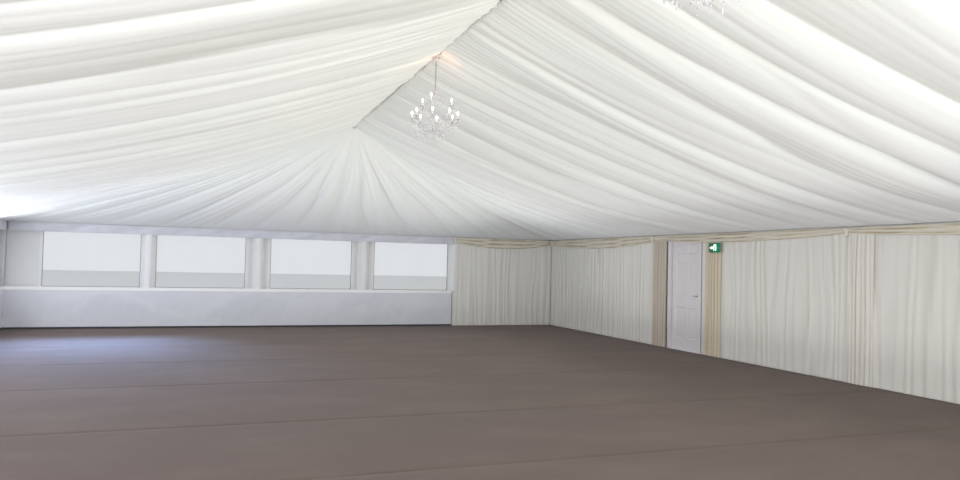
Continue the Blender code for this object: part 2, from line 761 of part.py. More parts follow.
def add_handles(axis, lever_at):
    """Two levers with round plates, joined by the spindle through the leaf."""
    half, size = SPINDLE / 2, LEVER_SIZE / 2
    face = LEAF_THICKNESS / 2 + GAP
    plate = face + ROSE_THICKNESS
    tip = LEAF_THICKNESS / 2 + LEVER_REACH
    bm = block((-face - half, -half, -half), (face + half, half, half))
    handles = add_object("door_handle_set", bm, "handle_chrome")
    handles.parent = axis
    handles.location = lever_at
    for side, word in ((-1, "inner"), (1, "outer")):
        profile = [(0, face), (ROSE_RADIUS, face), (ROSE_RADIUS, plate), (0, plate)]
        rose = turned(profile, 16)
        bmesh.ops.transform(rose, matrix=Matrix.Rotation(math.pi / 2, 4, "Y"), verts=rose.verts)
        stem = block((face + ROSE_THICKNESS / 2, -size, -size), (tip, size, size))
        grip = block((tip - LEVER_SIZE, 0, -size), (tip, LEVER_LENGTH, size))
        for kind, bm in (("rose", rose), ("stem", stem), ("grip", grip)):
            if side < 0:
                mirror_x(bm)
            piece = add_object(f"{word}_{kind}", bm, "handle_chrome")
            piece.parent = axis
            piece.location = lever_at
            combine(handles, piece, "UNION")


def add_floor():
    """Carpeted boards inside the legs."""
    x, y = INNER_X - GAP, INNER_Y - GAP
    add_object("carpeted_floor", block((-x, -y, 0), (x, y, FLOOR_THICKNESS)), "carpet")


def add_exit_sign():
    """Green sign box in front of the pelmet and the door's curtain."""
    outer = INNER_X - 3 * GAP - WALL_LINING_THICKNESS - max(CURTAIN_DEPTH, PELMET_THICKNESS)
    high = LEG_HEIGHT - SIGN_DROP
    edge = DOOR_FRONT - SIGN_SETBACK
    bm = block((outer - SIGN_THICKNESS, edge - SIGN_WIDTH, high - SIGN_HEIGHT), (outer, edge, high))
    add_object("exit_sign", bm, "sign_green")


def turned(profile, segments):
    """Closed turned solid from (radius, height) points that start and end on the axis."""
    bm = bmesh.new()
    verts = [bm.verts.new((r, 0, z)) for r, z in profile]
    edges = [bm.edges.new(pair) for pair in zip(verts[:-1], verts[1:])]
    bmesh.ops.spin(
        bm, geom=verts + edges, axis=(0, 0, 1), cent=(0, 0, 0),
        angle=2 * math.pi, steps=segments, use_merge=True,
    )
    bmesh.ops.remove_doubles(bm, verts=bm.verts, dist=MERGE_DISTANCE)
    return bm


def chandelier_stem(top):
    """Ceiling rose, chain and turned stem."""
    body_top = top - LAMP_DROP
    bottom = body_top - LAMP_HEIGHT
    rose = [
        (0.0, top), (CHAIN_RADIUS, top), (CHAIN_RADIUS, top - 0.02), (0.045, top - 0.032),
        (0.04, top - 0.045), (CHAIN_RADIUS, top - 0.055), (CHAIN_RADIUS, body_top),
    ]
    shares = ((0.05, 0.06), (0.022, 0.19), (0.03, 0.46), (0.06, 0.62), (0.045, 0.73),
              (0.012, 0.90), (0.02, 0.96))
    body = [(radius, body_top - LAMP_HEIGHT * share) for radius, share in shares]
    return turned(rose + body + [(0.0, bottom)], 12)


def chandelier_arm(hub_height):
    """Scrolled arm with its cup and candle, as one flat outline along +X."""
    tip = LAMP_RADIUS - CANDLE_RADIUS
    top = hub_height + CANDLE_HEIGHT
    scroll = ((0.01, 0.27), (0.37 * LAMP_RADIUS, 1.0), (0.70 * LAMP_RADIUS, 0.80))
    lower = [(x, hub_height - LAMP_ARM_DROP * share) for x, share in scroll]
    candle = [
        (tip + CANDLE_RADIUS, hub_height), (tip + CANDLE_RADIUS, top),
        (tip - CANDLE_RADIUS, top), (tip - CANDLE_RADIUS, hub_height),
    ]
    scroll = ((0.685 * LAMP_RADIUS, 0.53), (0.37 * LAMP_RADIUS, 0.69), (0.01, -0.07))
    upper = [(x, hub_height - LAMP_ARM_DROP * share) for x, share in scroll]
    half = LAMP_ARM_THICKNESS / 2
    return prism_along_y(lower + candle + upper, -half, half)


def add_chandeliers():
    """Chandeliers under the ridge at the front and middle frames."""
    steepest = (LINING_RIDGE - LINING_EAVE + 4 * HIP_SAG) / HIP_BAY
    top = LINING_RIDGE - LINING_THICKNESS - GAP - steepest * CHAIN_RADIUS
    hub_height = top - LAMP_DROP - LAMP_HEIGHT * 0.62
    for number, y in enumerate(LAMP_FRAMES, start=1):
        lamp = add_object(f"chandelier_{number}", chandelier_stem(top), "crystal")
        for i in range(LAMP_ARMS):
            bm = chandelier_arm(hub_height)
            turn = Matrix.Rotation(2 * math.pi * (i + 0.5) / LAMP_ARMS, 4, "Z")
            bmesh.ops.transform(bm, matrix=turn, verts=bm.verts)
            arm = add_object(f"chandelier_{number}_arm_{i}", bm, "crystal")
            arm.location.y = y
            combine(lamp, arm, "UNION")
        lamp.location.y = y


def main():
    """Build every piece of the marquee."""
    clear_scene()
    add_legs()
    add_rafters()
    add_ridge_beam()
    add_side_rails()
    add_end_frames()
    add_hip_rafters()
    add_side_covers()
    add_hip_covers()
    add_end_walls()
    add_side_walls()
    add_panes()
    add_side_linings()
    add_hip_linings()
    add_wall_linings()
    add_pelmets()
    add_curtains()
    add_door_frame()
    add_door()
    add_floor()
    add_exit_sign()
    add_chandeliers()


main()
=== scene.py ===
"""Looks of the hipped frame marquee: pleated lining, window walls, carpet, door and fittings.

Metres, +Z up, in the packed model's frame. The ridge runs along Y, and the ground is at Z = 0.
"""

import logging
import math
from collections.abc import Callable, Sequence
from dataclasses import dataclass, field
from enum import Enum

import bmesh
import bpy
import numpy as np
from mathutils import Matrix, Vector


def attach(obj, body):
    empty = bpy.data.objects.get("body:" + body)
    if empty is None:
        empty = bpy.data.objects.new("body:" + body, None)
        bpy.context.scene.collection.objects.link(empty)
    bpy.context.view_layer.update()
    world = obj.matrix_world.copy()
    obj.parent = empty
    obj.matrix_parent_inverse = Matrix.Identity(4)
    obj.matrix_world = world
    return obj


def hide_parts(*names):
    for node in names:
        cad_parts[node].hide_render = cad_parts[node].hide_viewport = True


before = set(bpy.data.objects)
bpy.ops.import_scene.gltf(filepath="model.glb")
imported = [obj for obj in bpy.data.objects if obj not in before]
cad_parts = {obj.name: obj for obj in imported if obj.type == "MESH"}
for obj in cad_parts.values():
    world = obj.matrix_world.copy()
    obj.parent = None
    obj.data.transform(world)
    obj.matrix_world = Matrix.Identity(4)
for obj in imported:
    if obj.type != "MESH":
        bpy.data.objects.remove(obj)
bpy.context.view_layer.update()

log = logging.getLogger("marquee")

Colour = tuple[float, float, float]
Point = tuple[float, float, float]
Piece = bpy.types.Object
Pieces = list[Piece]

UP = Vector((0.0, 0.0, 1.0))
SIDES = ((-1, "left"), (1, "right"))
ENDS = ((-1, "front"), (1, "back"))
CORNERS = ("Ridge start", "Ridge end", "Eave start", "Eave end")
ORIGIN = (0.0, 0.0, 0.0)


# Node trees


def maths_method(operation: str, about: str, swapped: bool = False) -> Callable[..., "Value"]:
    """Make a method of Value that adds one Math node.

    Args:
        operation: the Math node's operation.
        about: what the method gives.
        swapped: puts the value itself last.

    Returns:
        The method.
    """

    def method(value: "Value", *others: "Value | float") -> "Value":
        """Add the node."""
        terms = (*others, value) if swapped else (value, *others)
        return value.graph.add("ShaderNodeMath", {"operation": operation}, dict(enumerate(terms)))

    method.__doc__ = about
    return method


class Value:
    """A node's output that takes part in Python expressions."""

    def __init__(self, graph: "Graph", socket: bpy.types.NodeSocket) -> None:
        """Keep the socket and the graph that it is in."""
        self.graph = graph
        self.socket = socket

    __add__ = __radd__ = maths_method("ADD", "Sum.")
    __sub__ = maths_method("SUBTRACT", "Difference.")
    __rsub__ = maths_method("SUBTRACT", "Difference with the number first.", swapped=True)
    __mul__ = __rmul__ = maths_method("MULTIPLY", "Product.")
    __truediv__ = maths_method("DIVIDE", "Quotient.")
    __pow__ = maths_method("POWER", "Power.")
    __abs__ = maths_method("ABSOLUTE", "Size without its sign.")
    sin = maths_method("SINE", "Sine of an angle in radians.")
    fract = maths_method("FRACT", "What is left over a whole number.")
    least = maths_method("MINIMUM", "The smaller of two.")
    most = maths_method("MAXIMUM", "The larger of two.")

    def step(self, low: float, high: float) -> "Value":
        """Smooth rise from 0 at low to 1 at high."""
        settings = {"interpolation_type": "SMOOTHSTEP"}
        return self.graph.add("ShaderNodeMapRange", settings, {0: self, 1: low, 2: high})


class Graph:
    """A shader or Geometry Nodes tree that is filled from Python."""

    def __init__(self, tree: bpy.types.NodeTree) -> None:
        """Keep the tree."""
        self.tree = tree

    def add(
        self, kind: str, settings: dict | None = None, inputs: dict | None = None,
        output: int | str = 0,
    ) -> Value:
        """Add any node.

        Args:
            kind: the node's type.
            settings: its properties, set first.
            inputs: values or links, by socket name or number.
            output: the output that is wanted.

        Returns:
            That output.
        """
        node = self.tree.nodes.new(kind)
        for name, setting in (settings or {}).items():
            setattr(node, name, setting)
        for name, value in (inputs or {}).items():
            self.feed(node.inputs[name], value)
        return Value(self, node.outputs[output])

    def feed(self, socket: bpy.types.NodeSocket, value: object) -> None:
        """Link a value to a socket, or set the socket's own value.

        Args:
            socket: the socket.
            value: a node's output, or a plain value.
        """
        if isinstance(value, Value):
            self.tree.links.new(value.socket, socket)
        else:
            socket.default_value = value

    def vector(self, operation: str, *terms: "Value | Point") -> Value:
        """Add a Vector Math node."""
        return self.add("ShaderNodeVectorMath", {"operation": operation}, dict(enumerate(terms)))

    def scaled(self, vector: Value, factor: "Value | float") -> Value:
        """A vector times a number."""
        return self.add("ShaderNodeVectorMath", {"operation": "SCALE"}, {0: vector, 3: factor})

    def split(self, vector: Value) -> tuple[Value, Value, Value]:
        """The three parts of a vector."""
        node = self.add("ShaderNodeSeparateXYZ", inputs={0: vector}).socket.node
        return tuple(Value(self, output) for output in node.outputs)

    def joined(self, *parts: "Value | float") -> Value:
        """A vector from its parts."""
        return self.add("ShaderNodeCombineXYZ", inputs=dict(enumerate(parts)))

    def mix(self, share: "Value | float", low: object, high: object) -> Value:
        """Colour between two."""
        ends = [v if isinstance(v, Value) else (*v, 1.0) for v in (low, high)]
        return self.add("ShaderNodeMix", {"data_type": "RGBA"}, {0: share, 6: ends[0], 7: ends[1]}, 2)

    def between(self, share: "Value | float", low: object, high: object) -> Value:
        """Point between two."""
        return self.add("ShaderNodeMix", {"data_type": "VECTOR"}, {0: share, 4: low, 5: high}, 1)

    def marked(self, geometry: Value, **fields: Value) -> Value:
        """A mesh with fields kept on it by name; UVMap is kept on the corners.

        Args:
            geometry: the geometry.
            fields: the fields, by name.

        Returns:
            The geometry with its fields.
        """
        for name, value in fields.items():
            kind = ("FLOAT2", "CORNER") if name == "UVMap" else ("FLOAT", "POINT")
            settings = dict(zip(("data_type", "domain"), kind))
            inputs = {"Geometry": geometry, "Name": name, "Value": value}
            geometry = self.add("GeometryNodeStoreNamedAttribute", settings, inputs)
        return geometry

    def noise(self, at: Value, scale: float, detail: float = 2.0, roughness: float = 0.5) -> Value:
        """Smooth noise from 0 to 1 over a place."""
        inputs = {"Vector": at, "Scale": scale, "Detail": detail, "Roughness": roughness}
        return self.add("ShaderNodeTexNoise", inputs=inputs)

    def place(self) -> Value:
        """Object coordinates."""
        return self.add("ShaderNodeTexCoord", output="Object")

    def grain(self, pace: Point, detail: float, roughness: float = 0.5) -> Value:
        """Smooth noise over the object, with its own pace along each axis."""
        return self.noise(self.vector("MULTIPLY", self.place(), pace), 1.0, detail, roughness)

    def attribute(self, name: str) -> Value:
        """A field kept on the mesh."""
        return self.add("ShaderNodeAttribute", {"attribute_name": name}, output="Fac")

    def bump(self, height: Value, depth: float) -> Value:
        """A normal pressed by a height, whose unit is depth in metres."""
        inputs = {"Strength": 1.0, "Distance": depth, "Height": height}
        return self.add("ShaderNodeBump", inputs=inputs)


# Finishes


@dataclass(frozen=True)
class Finish:
    """What a surface is made of."""

    name: str

    def material(self) -> bpy.types.Material:
        """The finish as a material, made once.

        Returns:
            The material.
        """
        label = f"finish_{self.name}"
        made = bpy.data.materials.get(label)
        if made is None:
            made = bpy.data.materials.new(label)
            made.use_nodes = True
            graph = Graph(made.node_tree)
            shader = made.node_tree.nodes["Principled BSDF"]
            for socket, value in self.paint(graph).items():
                graph.feed(shader.inputs[socket], value)
        return made

    def paint(self, graph: Graph) -> dict[str, object]:
        """What goes into the shader's sockets, by name."""
        raise NotImplementedError


@dataclass(frozen=True)
class Cloth(Finish):
    """Hung cloth whose pattern follows its UV map, in metres; deep folds hold a second colour."""

    colour: Colour
    # deep: painted shade, mixed in where the folds are deep
    deep: Colour
    # far: painted cool window light, mixed in towards the eave by its share
    far: Colour
    cool_light_share: float = 0.0
    crinkle: float = 0.0012
    thread: float = 0.004
    roughness: float = 0.85
    sheen: float = 0.15

    def paint(self, graph: Graph) -> dict[str, object]:
        """Weave, fine crinkles along the folds, and colour by the depth of the fold.

        Args:
            graph: the material's tree.

        Returns:
            What goes into the shader's sockets, by name.
        """
        cut = graph.add("ShaderNodeUVMap", {"uv_map": "UVMap"})
        across, down, _ = graph.split(cut)
        crinkle = graph.noise(graph.joined(across * 26, down * 1.6, 0.0), 1.0, 3.0, 0.6)
        broad = graph.noise(graph.joined(across * 2.3, down * 0.7, 3.0), 1.0, 2.0)
        turn = math.tau / self.thread
        weave = (across * turn).sin() * (down * turn).sin()
        # Painted cool window light, stronger towards the eave
        body = graph.mix(graph.attribute("reach") * self.cool_light_share, self.colour, self.far)
        # Painted shade: the fold attribute, varied by broad noise, mixes in the deep colour
        fold = graph.attribute("fold") * (0.55 + 0.9 * broad)
        shade = (fold + 0.12 * (crinkle - 0.5)).most(0.0).least(1.0)
        return {
            "Base Color": graph.mix(shade, body, self.deep),
            "Roughness": self.roughness - 0.10 * crinkle,
            "Sheen Weight": self.sheen, "Sheen Roughness": 0.5,
            "Normal": graph.bump(crinkle + weave * 0.08, self.crinkle),
        }


@dataclass(frozen=True)
class CoatedCloth(Finish):
    """Coated fabric of the covers and walls: scrim under a glossy skin, welds and faint marks."""

    colour: Colour
    mark: Colour
    roughness: float = 0.42
    weld_every: float = 0.0
    weld_axis: int = 1
    run: Point = (1.6, 1.6, 0.35)

    def paint(self, graph: Graph) -> dict[str, object]:
        """Scrim, soft waves, smudges that run down, and weld bands at a fixed spacing.

        Args:
            graph: the material's tree.

        Returns:
            What goes into the shader's sockets, by name.
        """
        place = graph.place()
        parts = graph.split(place)
        smudge = graph.grain(self.run, 5.0, 0.62)
        speck = graph.noise(place, 24.0, 3.0)
        scrim = (parts[0] * 900).sin() * (parts[1] * 900).sin() + (parts[2] * 900).sin()
        wave = graph.grain((0.9, 0.9, 1.7), 1.0)
        dirt = smudge.step(0.42, 0.85) * 0.45 + speck.step(0.62, 0.80) * 0.10
        height = wave * 6.0 + scrim * 0.03
        if self.weld_every:
            strip = (parts[self.weld_axis] / self.weld_every + 0.37).fract()
            weld = 1 - strip.step(0.018, 0.022) + strip.step(0.998, 1.0)
            height = height + weld * 0.9
            dirt = dirt + weld * 0.10
        return {
            "Base Color": graph.mix(dirt.least(1.0), self.colour, self.mark),
            "Roughness": self.roughness + 0.18 * smudge, "Coat Weight": 0.10, "Coat Roughness": 0.3,
            "Normal": graph.bump(height, 0.0012),
        }


@dataclass(frozen=True)
class Film(Finish):
    """Clear film of the windows, a little wavy and hazed."""

    tint: Colour = (0.80, 0.86, 0.85)
    body: float = 0.16

    def paint(self, graph: Graph) -> dict[str, object]:
        """Mostly clear, with haze patches that hold more of the film's tint.

        Args:
            graph: the material's tree.

        Returns:
            What goes into the shader's sockets, by name.
        """
        haze = graph.grain((1.7, 1.7, 0.8), 4.0, 0.6)
        return {
            "Base Color": graph.mix(haze, self.tint, (0.92, 0.95, 0.95)),
            "Alpha": self.body * (0.7 + 0.6 * haze), "Roughness": 0.05 + 0.10 * haze,
            "Normal": graph.bump(graph.grain((2.2, 2.2, 1.1), 1.0), 0.03),
        }


@dataclass(frozen=True)
class Metal(Finish):
    """Drawn, cast or plated metal with fine streaks and dull patches."""

    colour: Colour
    roughness: float = 0.35
    streak: Point = (3.0, 3.0, 160.0)
    wear: float = 0.25

    def paint(self, graph: Graph) -> dict[str, object]:
        """Streaks across one axis, and patches that are duller and darker.

        Args:
            graph: the material's tree.

        Returns:
            What goes into the shader's sockets, by name.
        """
        streaks = graph.grain(self.streak, 3.0, 0.6)
        patch = graph.noise(graph.place(), 3.1, 4.0, 0.6)
        dull = tuple(0.72 * c for c in self.colour)
        share = patch.step(0.42, 0.75) * self.wear + 0.15 * streaks
        return {
            "Base Color": graph.mix(share, self.colour, dull), "Metallic": 1.0,
            "Roughness": self.roughness * (0.75 + 0.5 * streaks),
            "Normal": graph.bump(streaks, 0.0003),
        }


@dataclass(frozen=True)
class Paint(Finish):
    """Brushed gloss paint or moulded plastic, with faint brush marks and rubbed patches."""

    colour: Colour
    rubbed: Colour
    roughness: float = 0.35
    grain: Point = (8.0, 120.0, 8.0)
    depth: float = 0.0006

    def paint(self, graph: Graph) -> dict[str, object]:
        """Marks along one axis, and patches of the rubbed colour.

        Args:
            graph: the material's tree.

        Returns:
            What goes into the shader's sockets, by name.
        """
        marks = graph.grain(self.grain, 3.0, 0.6)
        patch = graph.noise(graph.place(), 5.3, 4.0, 0.6)
        share = patch.step(0.55, 0.85) * 0.6 + 0.08 * marks
        return {
            "Base Color": graph.mix(share, self.colour, self.rubbed),
            "Roughness": self.roughness + 0.2 * (patch - 0.5), "Normal": graph.bump(marks, self.depth),
        }


@dataclass(frozen=True)
class Carpet(Finish):
    """Needle-felt carpet: flecked fibres, footworn patches and lifted seams."""

    colour: Colour = (0.104, 0.069, 0.057)
    fleck: Colour = (0.195, 0.141, 0.118)
    worn: Colour = (0.141, 0.100, 0.083)

    def paint(self, graph: Graph) -> dict[str, object]:
        """Flecks at fibre size, ribs across the roll and broad worn patches.

        Args:
            graph: the material's tree.

        Returns:
            What goes into the shader's sockets, by name.
        """
        fibre = graph.noise(graph.place(), 420.0, 3.0, 0.7)
        rib = graph.grain((5.0, 95.0, 5.0), 2.0)
        patch = graph.grain((0.7, 1.3, 1.0), 4.0, 0.6)
        base = graph.mix(patch.step(0.40, 0.72) * 0.7, self.colour, self.worn)
        flecks = fibre.step(0.48, 0.70) * 0.55 + rib * 0.18
        return {
            "Base Color": graph.mix(flecks, base, self.fleck), "Roughness": 0.74 + 0.2 * fibre,
            "Sheen Weight": 0.08, "Sheen Roughness": 0.5, "Specular IOR Level": 0.25,
            "Normal": graph.bump(fibre + rib * 0.5, 0.002),
        }


@dataclass(frozen=True)
class Crystal(Finish):
    """Cut glass, read mostly by its rims and glints."""

    tint: Colour = (0.90, 0.88, 0.90)
    shade: Colour = (0.50, 0.47, 0.51)

    def paint(self, graph: Graph) -> dict[str, object]:
        """Half-clear glass whose facets turn from pale to grey-lilac.

        Args:
            graph: the material's tree.

        Returns:
            What goes into the shader's sockets, by name.
        """
        facet = graph.noise(graph.place(), 60.0, 1.0).step(0.40, 0.66)
        return {
            "Base Color": graph.mix(facet, self.tint, self.shade), "Roughness": 0.03 + 0.10 * facet,
            "Alpha": 0.40 + 0.38 * facet, "IOR": 1.6, "Specular IOR Level": 0.9,
        }


@dataclass(frozen=True)
class Glow(Finish):
    """Something lit from inside."""

    colour: Colour
    strength: float

    def paint(self, graph: Graph) -> dict[str, object]:
        """Glow that fades a little over the surface.

        Args:
            graph: the material's tree.

        Returns:
            What goes into the shader's sockets, by name.
        """
        uneven = graph.noise(graph.place(), 40.0, 1.0)
        dim = tuple(0.82 * c for c in self.colour)
        colour = graph.mix(uneven.step(0.35, 0.75), self.colour, dim)
        return {
            "Base Color": colour, "Emission Color": colour, "Emission Strength": self.strength,
            "Roughness": 0.4,
        }


class Look(Enum):
    """The marquee's finishes."""

    # In each cloth the second colour is painted shade for its folds; the third is painted cool light
    # towards the eave, which only the lining uses.
    LINING = Cloth("roof_lining", (0.850, 0.870, 0.820), (0.57, 0.575, 0.525), (0.80, 0.82, 0.86),
                   cool_light_share=0.75)
    WALL_PLEATS = Cloth("wall_lining", (0.735, 0.722, 0.682), (0.55, 0.515, 0.455), (0.7, 0.7, 0.7))
    SWAG = Cloth("pelmet", (0.73, 0.70, 0.61), (0.38, 0.29, 0.165), (0.7, 0.7, 0.7), 0.0, 0.0008)
    BAND = Cloth("eaves_band", (0.66, 0.67, 0.72), (0.48, 0.49, 0.55), (0.7, 0.7, 0.7), 0.0, 0.0008)
    DADO = Cloth("dado_cloth", (0.70, 0.71, 0.76), (0.55, 0.56, 0.62), (0.7, 0.7, 0.7), 0.0, 0.0006)
    # Painted shade and light: the drape cloth in a darker copy for the leg drape in shade, and a paler
    # copy for the lit ones.
    DRAPE = Cloth("leg_drape", (0.56, 0.495, 0.425), (0.33, 0.27, 0.215), (0.7, 0.7, 0.7))
    LIT_DRAPE = Cloth("pale_drape", (0.74, 0.72, 0.67), (0.50, 0.46, 0.40), (0.7, 0.7, 0.7))
    CURTAIN = Cloth("door_curtain", (0.66, 0.58, 0.46), (0.38, 0.30, 0.21), (0.7, 0.7, 0.7))
    RIDGE = Cloth("ridge_tape", (0.85, 0.83, 0.80), (0.60, 0.58, 0.55), (0.3, 0.3, 0.3), 0.0, 0.0006)
    KNOT = Cloth("tie", (0.66, 0.60, 0.55), (0.40, 0.34, 0.30), (0.3, 0.3, 0.3), 0.0, 0.0006)
    ROOF = CoatedCloth("roof_cover", (0.76, 0.76, 0.75), (0.62, 0.61, 0.58), 0.40, 1.53,
                       run=(0.22, 1.5, 0.9))
    WALL = CoatedCloth("wall_cover", (0.77, 0.77, 0.77), (0.66, 0.65, 0.63), 0.45)
    TRIM = CoatedCloth("welded_band", (0.82, 0.82, 0.83), (0.70, 0.69, 0.68), 0.38)
    FILM = Film("window_film")
    GASKET = Paint("window_edge", (0.16, 0.19, 0.18), (0.24, 0.27, 0.26), 0.5)
    # Painted light: a brighter copy of the welded band's fabric, so the sill band looks lit.
    SILL = CoatedCloth("sill_band", (0.92, 0.92, 0.93), (0.84, 0.84, 0.85), 0.35)
    # Painted shadow: a near-black strip for the shadow gap between the dado's hem and the floor.
    SHADOW_STRIP = Paint("foot_strip", (0.045, 0.045, 0.05), (0.10, 0.10, 0.10), 0.6)
    ALUMINIUM = Metal("aluminium", (0.72, 0.73, 0.74))
    STEEL = Metal("zinc_steel", (0.55, 0.56, 0.58), 0.42, (40.0, 40.0, 40.0), 0.5)
    CHROME = Metal("chrome", (0.83, 0.83, 0.84), 0.12, (60.0, 60.0, 60.0), 0.1)
    DOOR = Paint("door_paint", (0.74, 0.71, 0.73), (0.64, 0.61, 0.62), 0.38)
    CARPET = Carpet("carpet")
    BOARD = Paint("floor_board", (0.20, 0.13, 0.08), (0.28, 0.20, 0.13), 0.7, (60.0, 6.0, 60.0))
    CRYSTAL = Crystal("crystal")
    BULB = Glow("candle_bulb", (1.0, 0.95, 0.88), 9.0)
    CANDLE = Paint("candle_sleeve", (0.84, 0.81, 0.74), (0.70, 0.66, 0.58), 0.45)
    GREEN = Paint("sign_green", (0.02, 0.30, 0.16), (0.04, 0.36, 0.21), 0.35)
    LIT = Glow("sign_face", (0.93, 1.0, 0.95), 2.2)


# Shared ways of making meshes


def link(name: str, mesh: bpy.types.Mesh, look: Look | None = None) -> Piece:
    """Put a mesh in the scene as a piece.

    Args:
        name: the piece's name.
        mesh: its mesh, already in place.
        look: its finish, where the mesh has none yet.

    Returns:
        The piece.
    """
    piece = bpy.data.objects.new(name, mesh)
    bpy.context.scene.collection.objects.link(piece)
    if look is not None:
        mesh.materials.clear()
        mesh.materials.append(look.value.material())
    return piece


def sheet_mesh(
    name: str, points: np.ndarray, look: Look, cut: np.ndarray | None = None,
    fold: np.ndarray | None = None, holes: np.ndarray | None = None, flip: bool = False,
    wrap: bool = False,
) -> Piece:
    """Build a piece from rows of points.

    Args:
        name: the piece's name.
        points: rows x columns x 3 places.
        look: its finish.
        cut: rows x columns x 2 places on the flat cloth, in metres.
        fold: rows x columns depth of fold, from 0 to 1.
        holes: rows - 1 x columns - 1, True where there is no face.
        flip: turns the faces over.
        wrap: joins the last column to the first.

    Returns:
        The piece.
    """
    rows, columns = points.shape[:2]
    index = np.arange(rows * columns).reshape(rows, columns)
    if wrap:
        index = np.concatenate([index, index[:, :1]], axis=1)
    quads = np.stack([index[:-1, :-1], index[:-1, 1:], index[1:, 1:], index[1:, :-1]], axis=-1)
    if holes is not None:
        quads = quads[~holes]
    quads = quads.reshape(-1, 4)
    if flip:
        quads = quads[:, ::-1]
    mesh = bpy.data.meshes.new(name)
    mesh.from_pydata(points.reshape(-1, 3).tolist(), [], quads.tolist())
    mesh.validate()
    if cut is not None:
        layer = mesh.uv_layers.new(name="UVMap")
        corners = np.empty(len(mesh.loops), dtype=np.int32)
        mesh.loops.foreach_get("vertex_index", corners)
        layer.data.foreach_set("uv", cut.reshape(-1, 2)[corners].astype(np.float32).ravel())
    if fold is not None:
        depth = mesh.attributes.new("fold", "FLOAT", "POINT")
        depth.data.foreach_set("value", fold.astype(np.float32).ravel())
    mesh.shade_smooth()
    return link(name, mesh, look)


def merge_meshes(name: str, parts: Sequence[Piece]) -> Piece:
    """Join pieces into one, keeping their finishes.

    Args:
        name: the joined piece's name.
        parts: what is joined.

    Returns:
        The joined piece.
    """
    with bpy.context.temp_override(active_object=parts[0], selected_editable_objects=list(parts)):
        bpy.ops.object.join()
    parts[0].name = name
    parts[0].data.name = name
    return parts[0]


def box_mesh(bm: bmesh.types.BMesh, low: Point, high: Point) -> list[bmesh.types.BMVert]:
    """Add a box between two corners to a mesh.

    Args:
        bm: the mesh that is filled.
        low: its lowest corner.
        high: its highest corner.

    Returns:
        The box's corners.
    """
    made = bmesh.ops.create_cube(bm, size=1.0)["verts"]
    size = [b - a for a, b in zip(low, high)]
    middle = [(a + b) / 2 for a, b in zip(low, high)]
    bmesh.ops.scale(bm, vec=size, verts=made)
    bmesh.ops.translate(bm, vec=middle, verts=made)
    return made


def turned_mesh(
    name: str, profile: Sequence[tuple[float, float]], sides: int, at: Point, look: Look,
    ripple: float = 0.0, ripples: int = 9,
) -> Piece:
    """Turn a profile of (radius, height) about an upright axis.

    Args:
        name: the piece's name.
        profile: radii and heights, from the top down.
        sides: how many faces go round.
        at: the axis's place.
        look: the finish.
        ripple: share by which folds swell and pinch the radius.
        ripples: how many folds go round.

    Returns:
        The closed piece.
    """
    angle = np.linspace(0, math.tau, sides, endpoint=False)
    swell = 1 + ripple * np.abs(np.sin(angle * ripples / 2)) - ripple / 2
    rows = [[(r * s * math.cos(a), r * s * math.sin(a), z) for a, s in zip(angle, swell)]
            for r, z in profile]
    return closed(sheet_mesh(name, np.array(rows) + np.array(at), look, flip=True, wrap=True))


def wander(at: np.ndarray, seed: int, octaves: int = 4) -> np.ndarray:
    """Smooth made-up noise from about -1 to 1 over one measure, the same on every run.

    Args:
        at: the measure at each point.
        seed: sets the waves.
        octaves: how many waves are added.

    Returns:
        The noise at each point.
    """
    rng = np.random.default_rng(seed)
    total = np.zeros_like(at)
    for octave in range(octaves):
        pace, start = 1.7 ** octave * rng.uniform(0.8, 1.3), rng.uniform(0, math.tau)
        total += np.sin(at * pace * math.tau + start) * 0.62 ** octave
    return total / 1.8


def flowing(points: Sequence[tuple[float, ...]], count: int) -> np.ndarray:
    """Points along a smooth curve through a few given ones.

    Args:
        points: the given points.
        count: how many points are wanted.

    Returns:
        The points of the curve.
    """
    given = np.array(points, dtype=float)
    given = np.vstack([2 * given[0] - given[1], given, 2 * given[-1] - given[-2]])
    at = np.linspace(0, len(points) - 1 - 1e-9, count)
    first = at.astype(int)
    f = (at - first)[:, None]
    a, b, c, d = (given[first + k] for k in range(4))
    return b + 0.5 * f * (c - a + f * (2 * a - 5 * b + 4 * c - d + f * (3 * b - a - 3 * c + d)))


def settle(
    piece: Piece, body: str, slot: str, stands_for: str = ""
) -> Piece:
    """Ride a piece on its body, name its slot, and say which CAD node it stands for.

    Args:
        piece: the piece.
        body: the body that carries it.
        slot: the record's material slot.
        stands_for: the CAD node, or nothing.

    Returns:
        The piece.
    """
    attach(piece, body)
    if stands_for:
        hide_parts(stands_for)
    return piece


def hang(
    piece: Piece, slot: str, stands_for: str, length: float, held: str, *rests_on: str,
    width: float = 0.0,
) -> Piece:
    """Settle a piece of cloth on the tent and declare it by the length of its cut.

    Args:
        piece: the cloth.
        slot: the record's material slot.
        stands_for: the CAD node that it stands for, or nothing.
        length: one side of the cut in metres; the area of the cloth gives the other.
        held: how it is held.
        rests_on: nodes that carry it.
        width: the cut's other side, where the cut isn't a rectangle.

    Returns:
        The piece.
    """
    settle(piece, "tent", slot, stands_for)
    area = sum(face.area for face in piece.data.polygons)
    flat = (max(width, area / length), length)
    return piece


def padded(piece: Piece, slot: str) -> Piece:
    """Settle a bunched knot on the tent and declare how full it is.

    Args:
        piece: the piece.
        slot: the record's material slot.
        fill: share of its volume that is filled.

    Returns:
        The piece.
    """
    settle(piece, "tent", slot)
    return piece


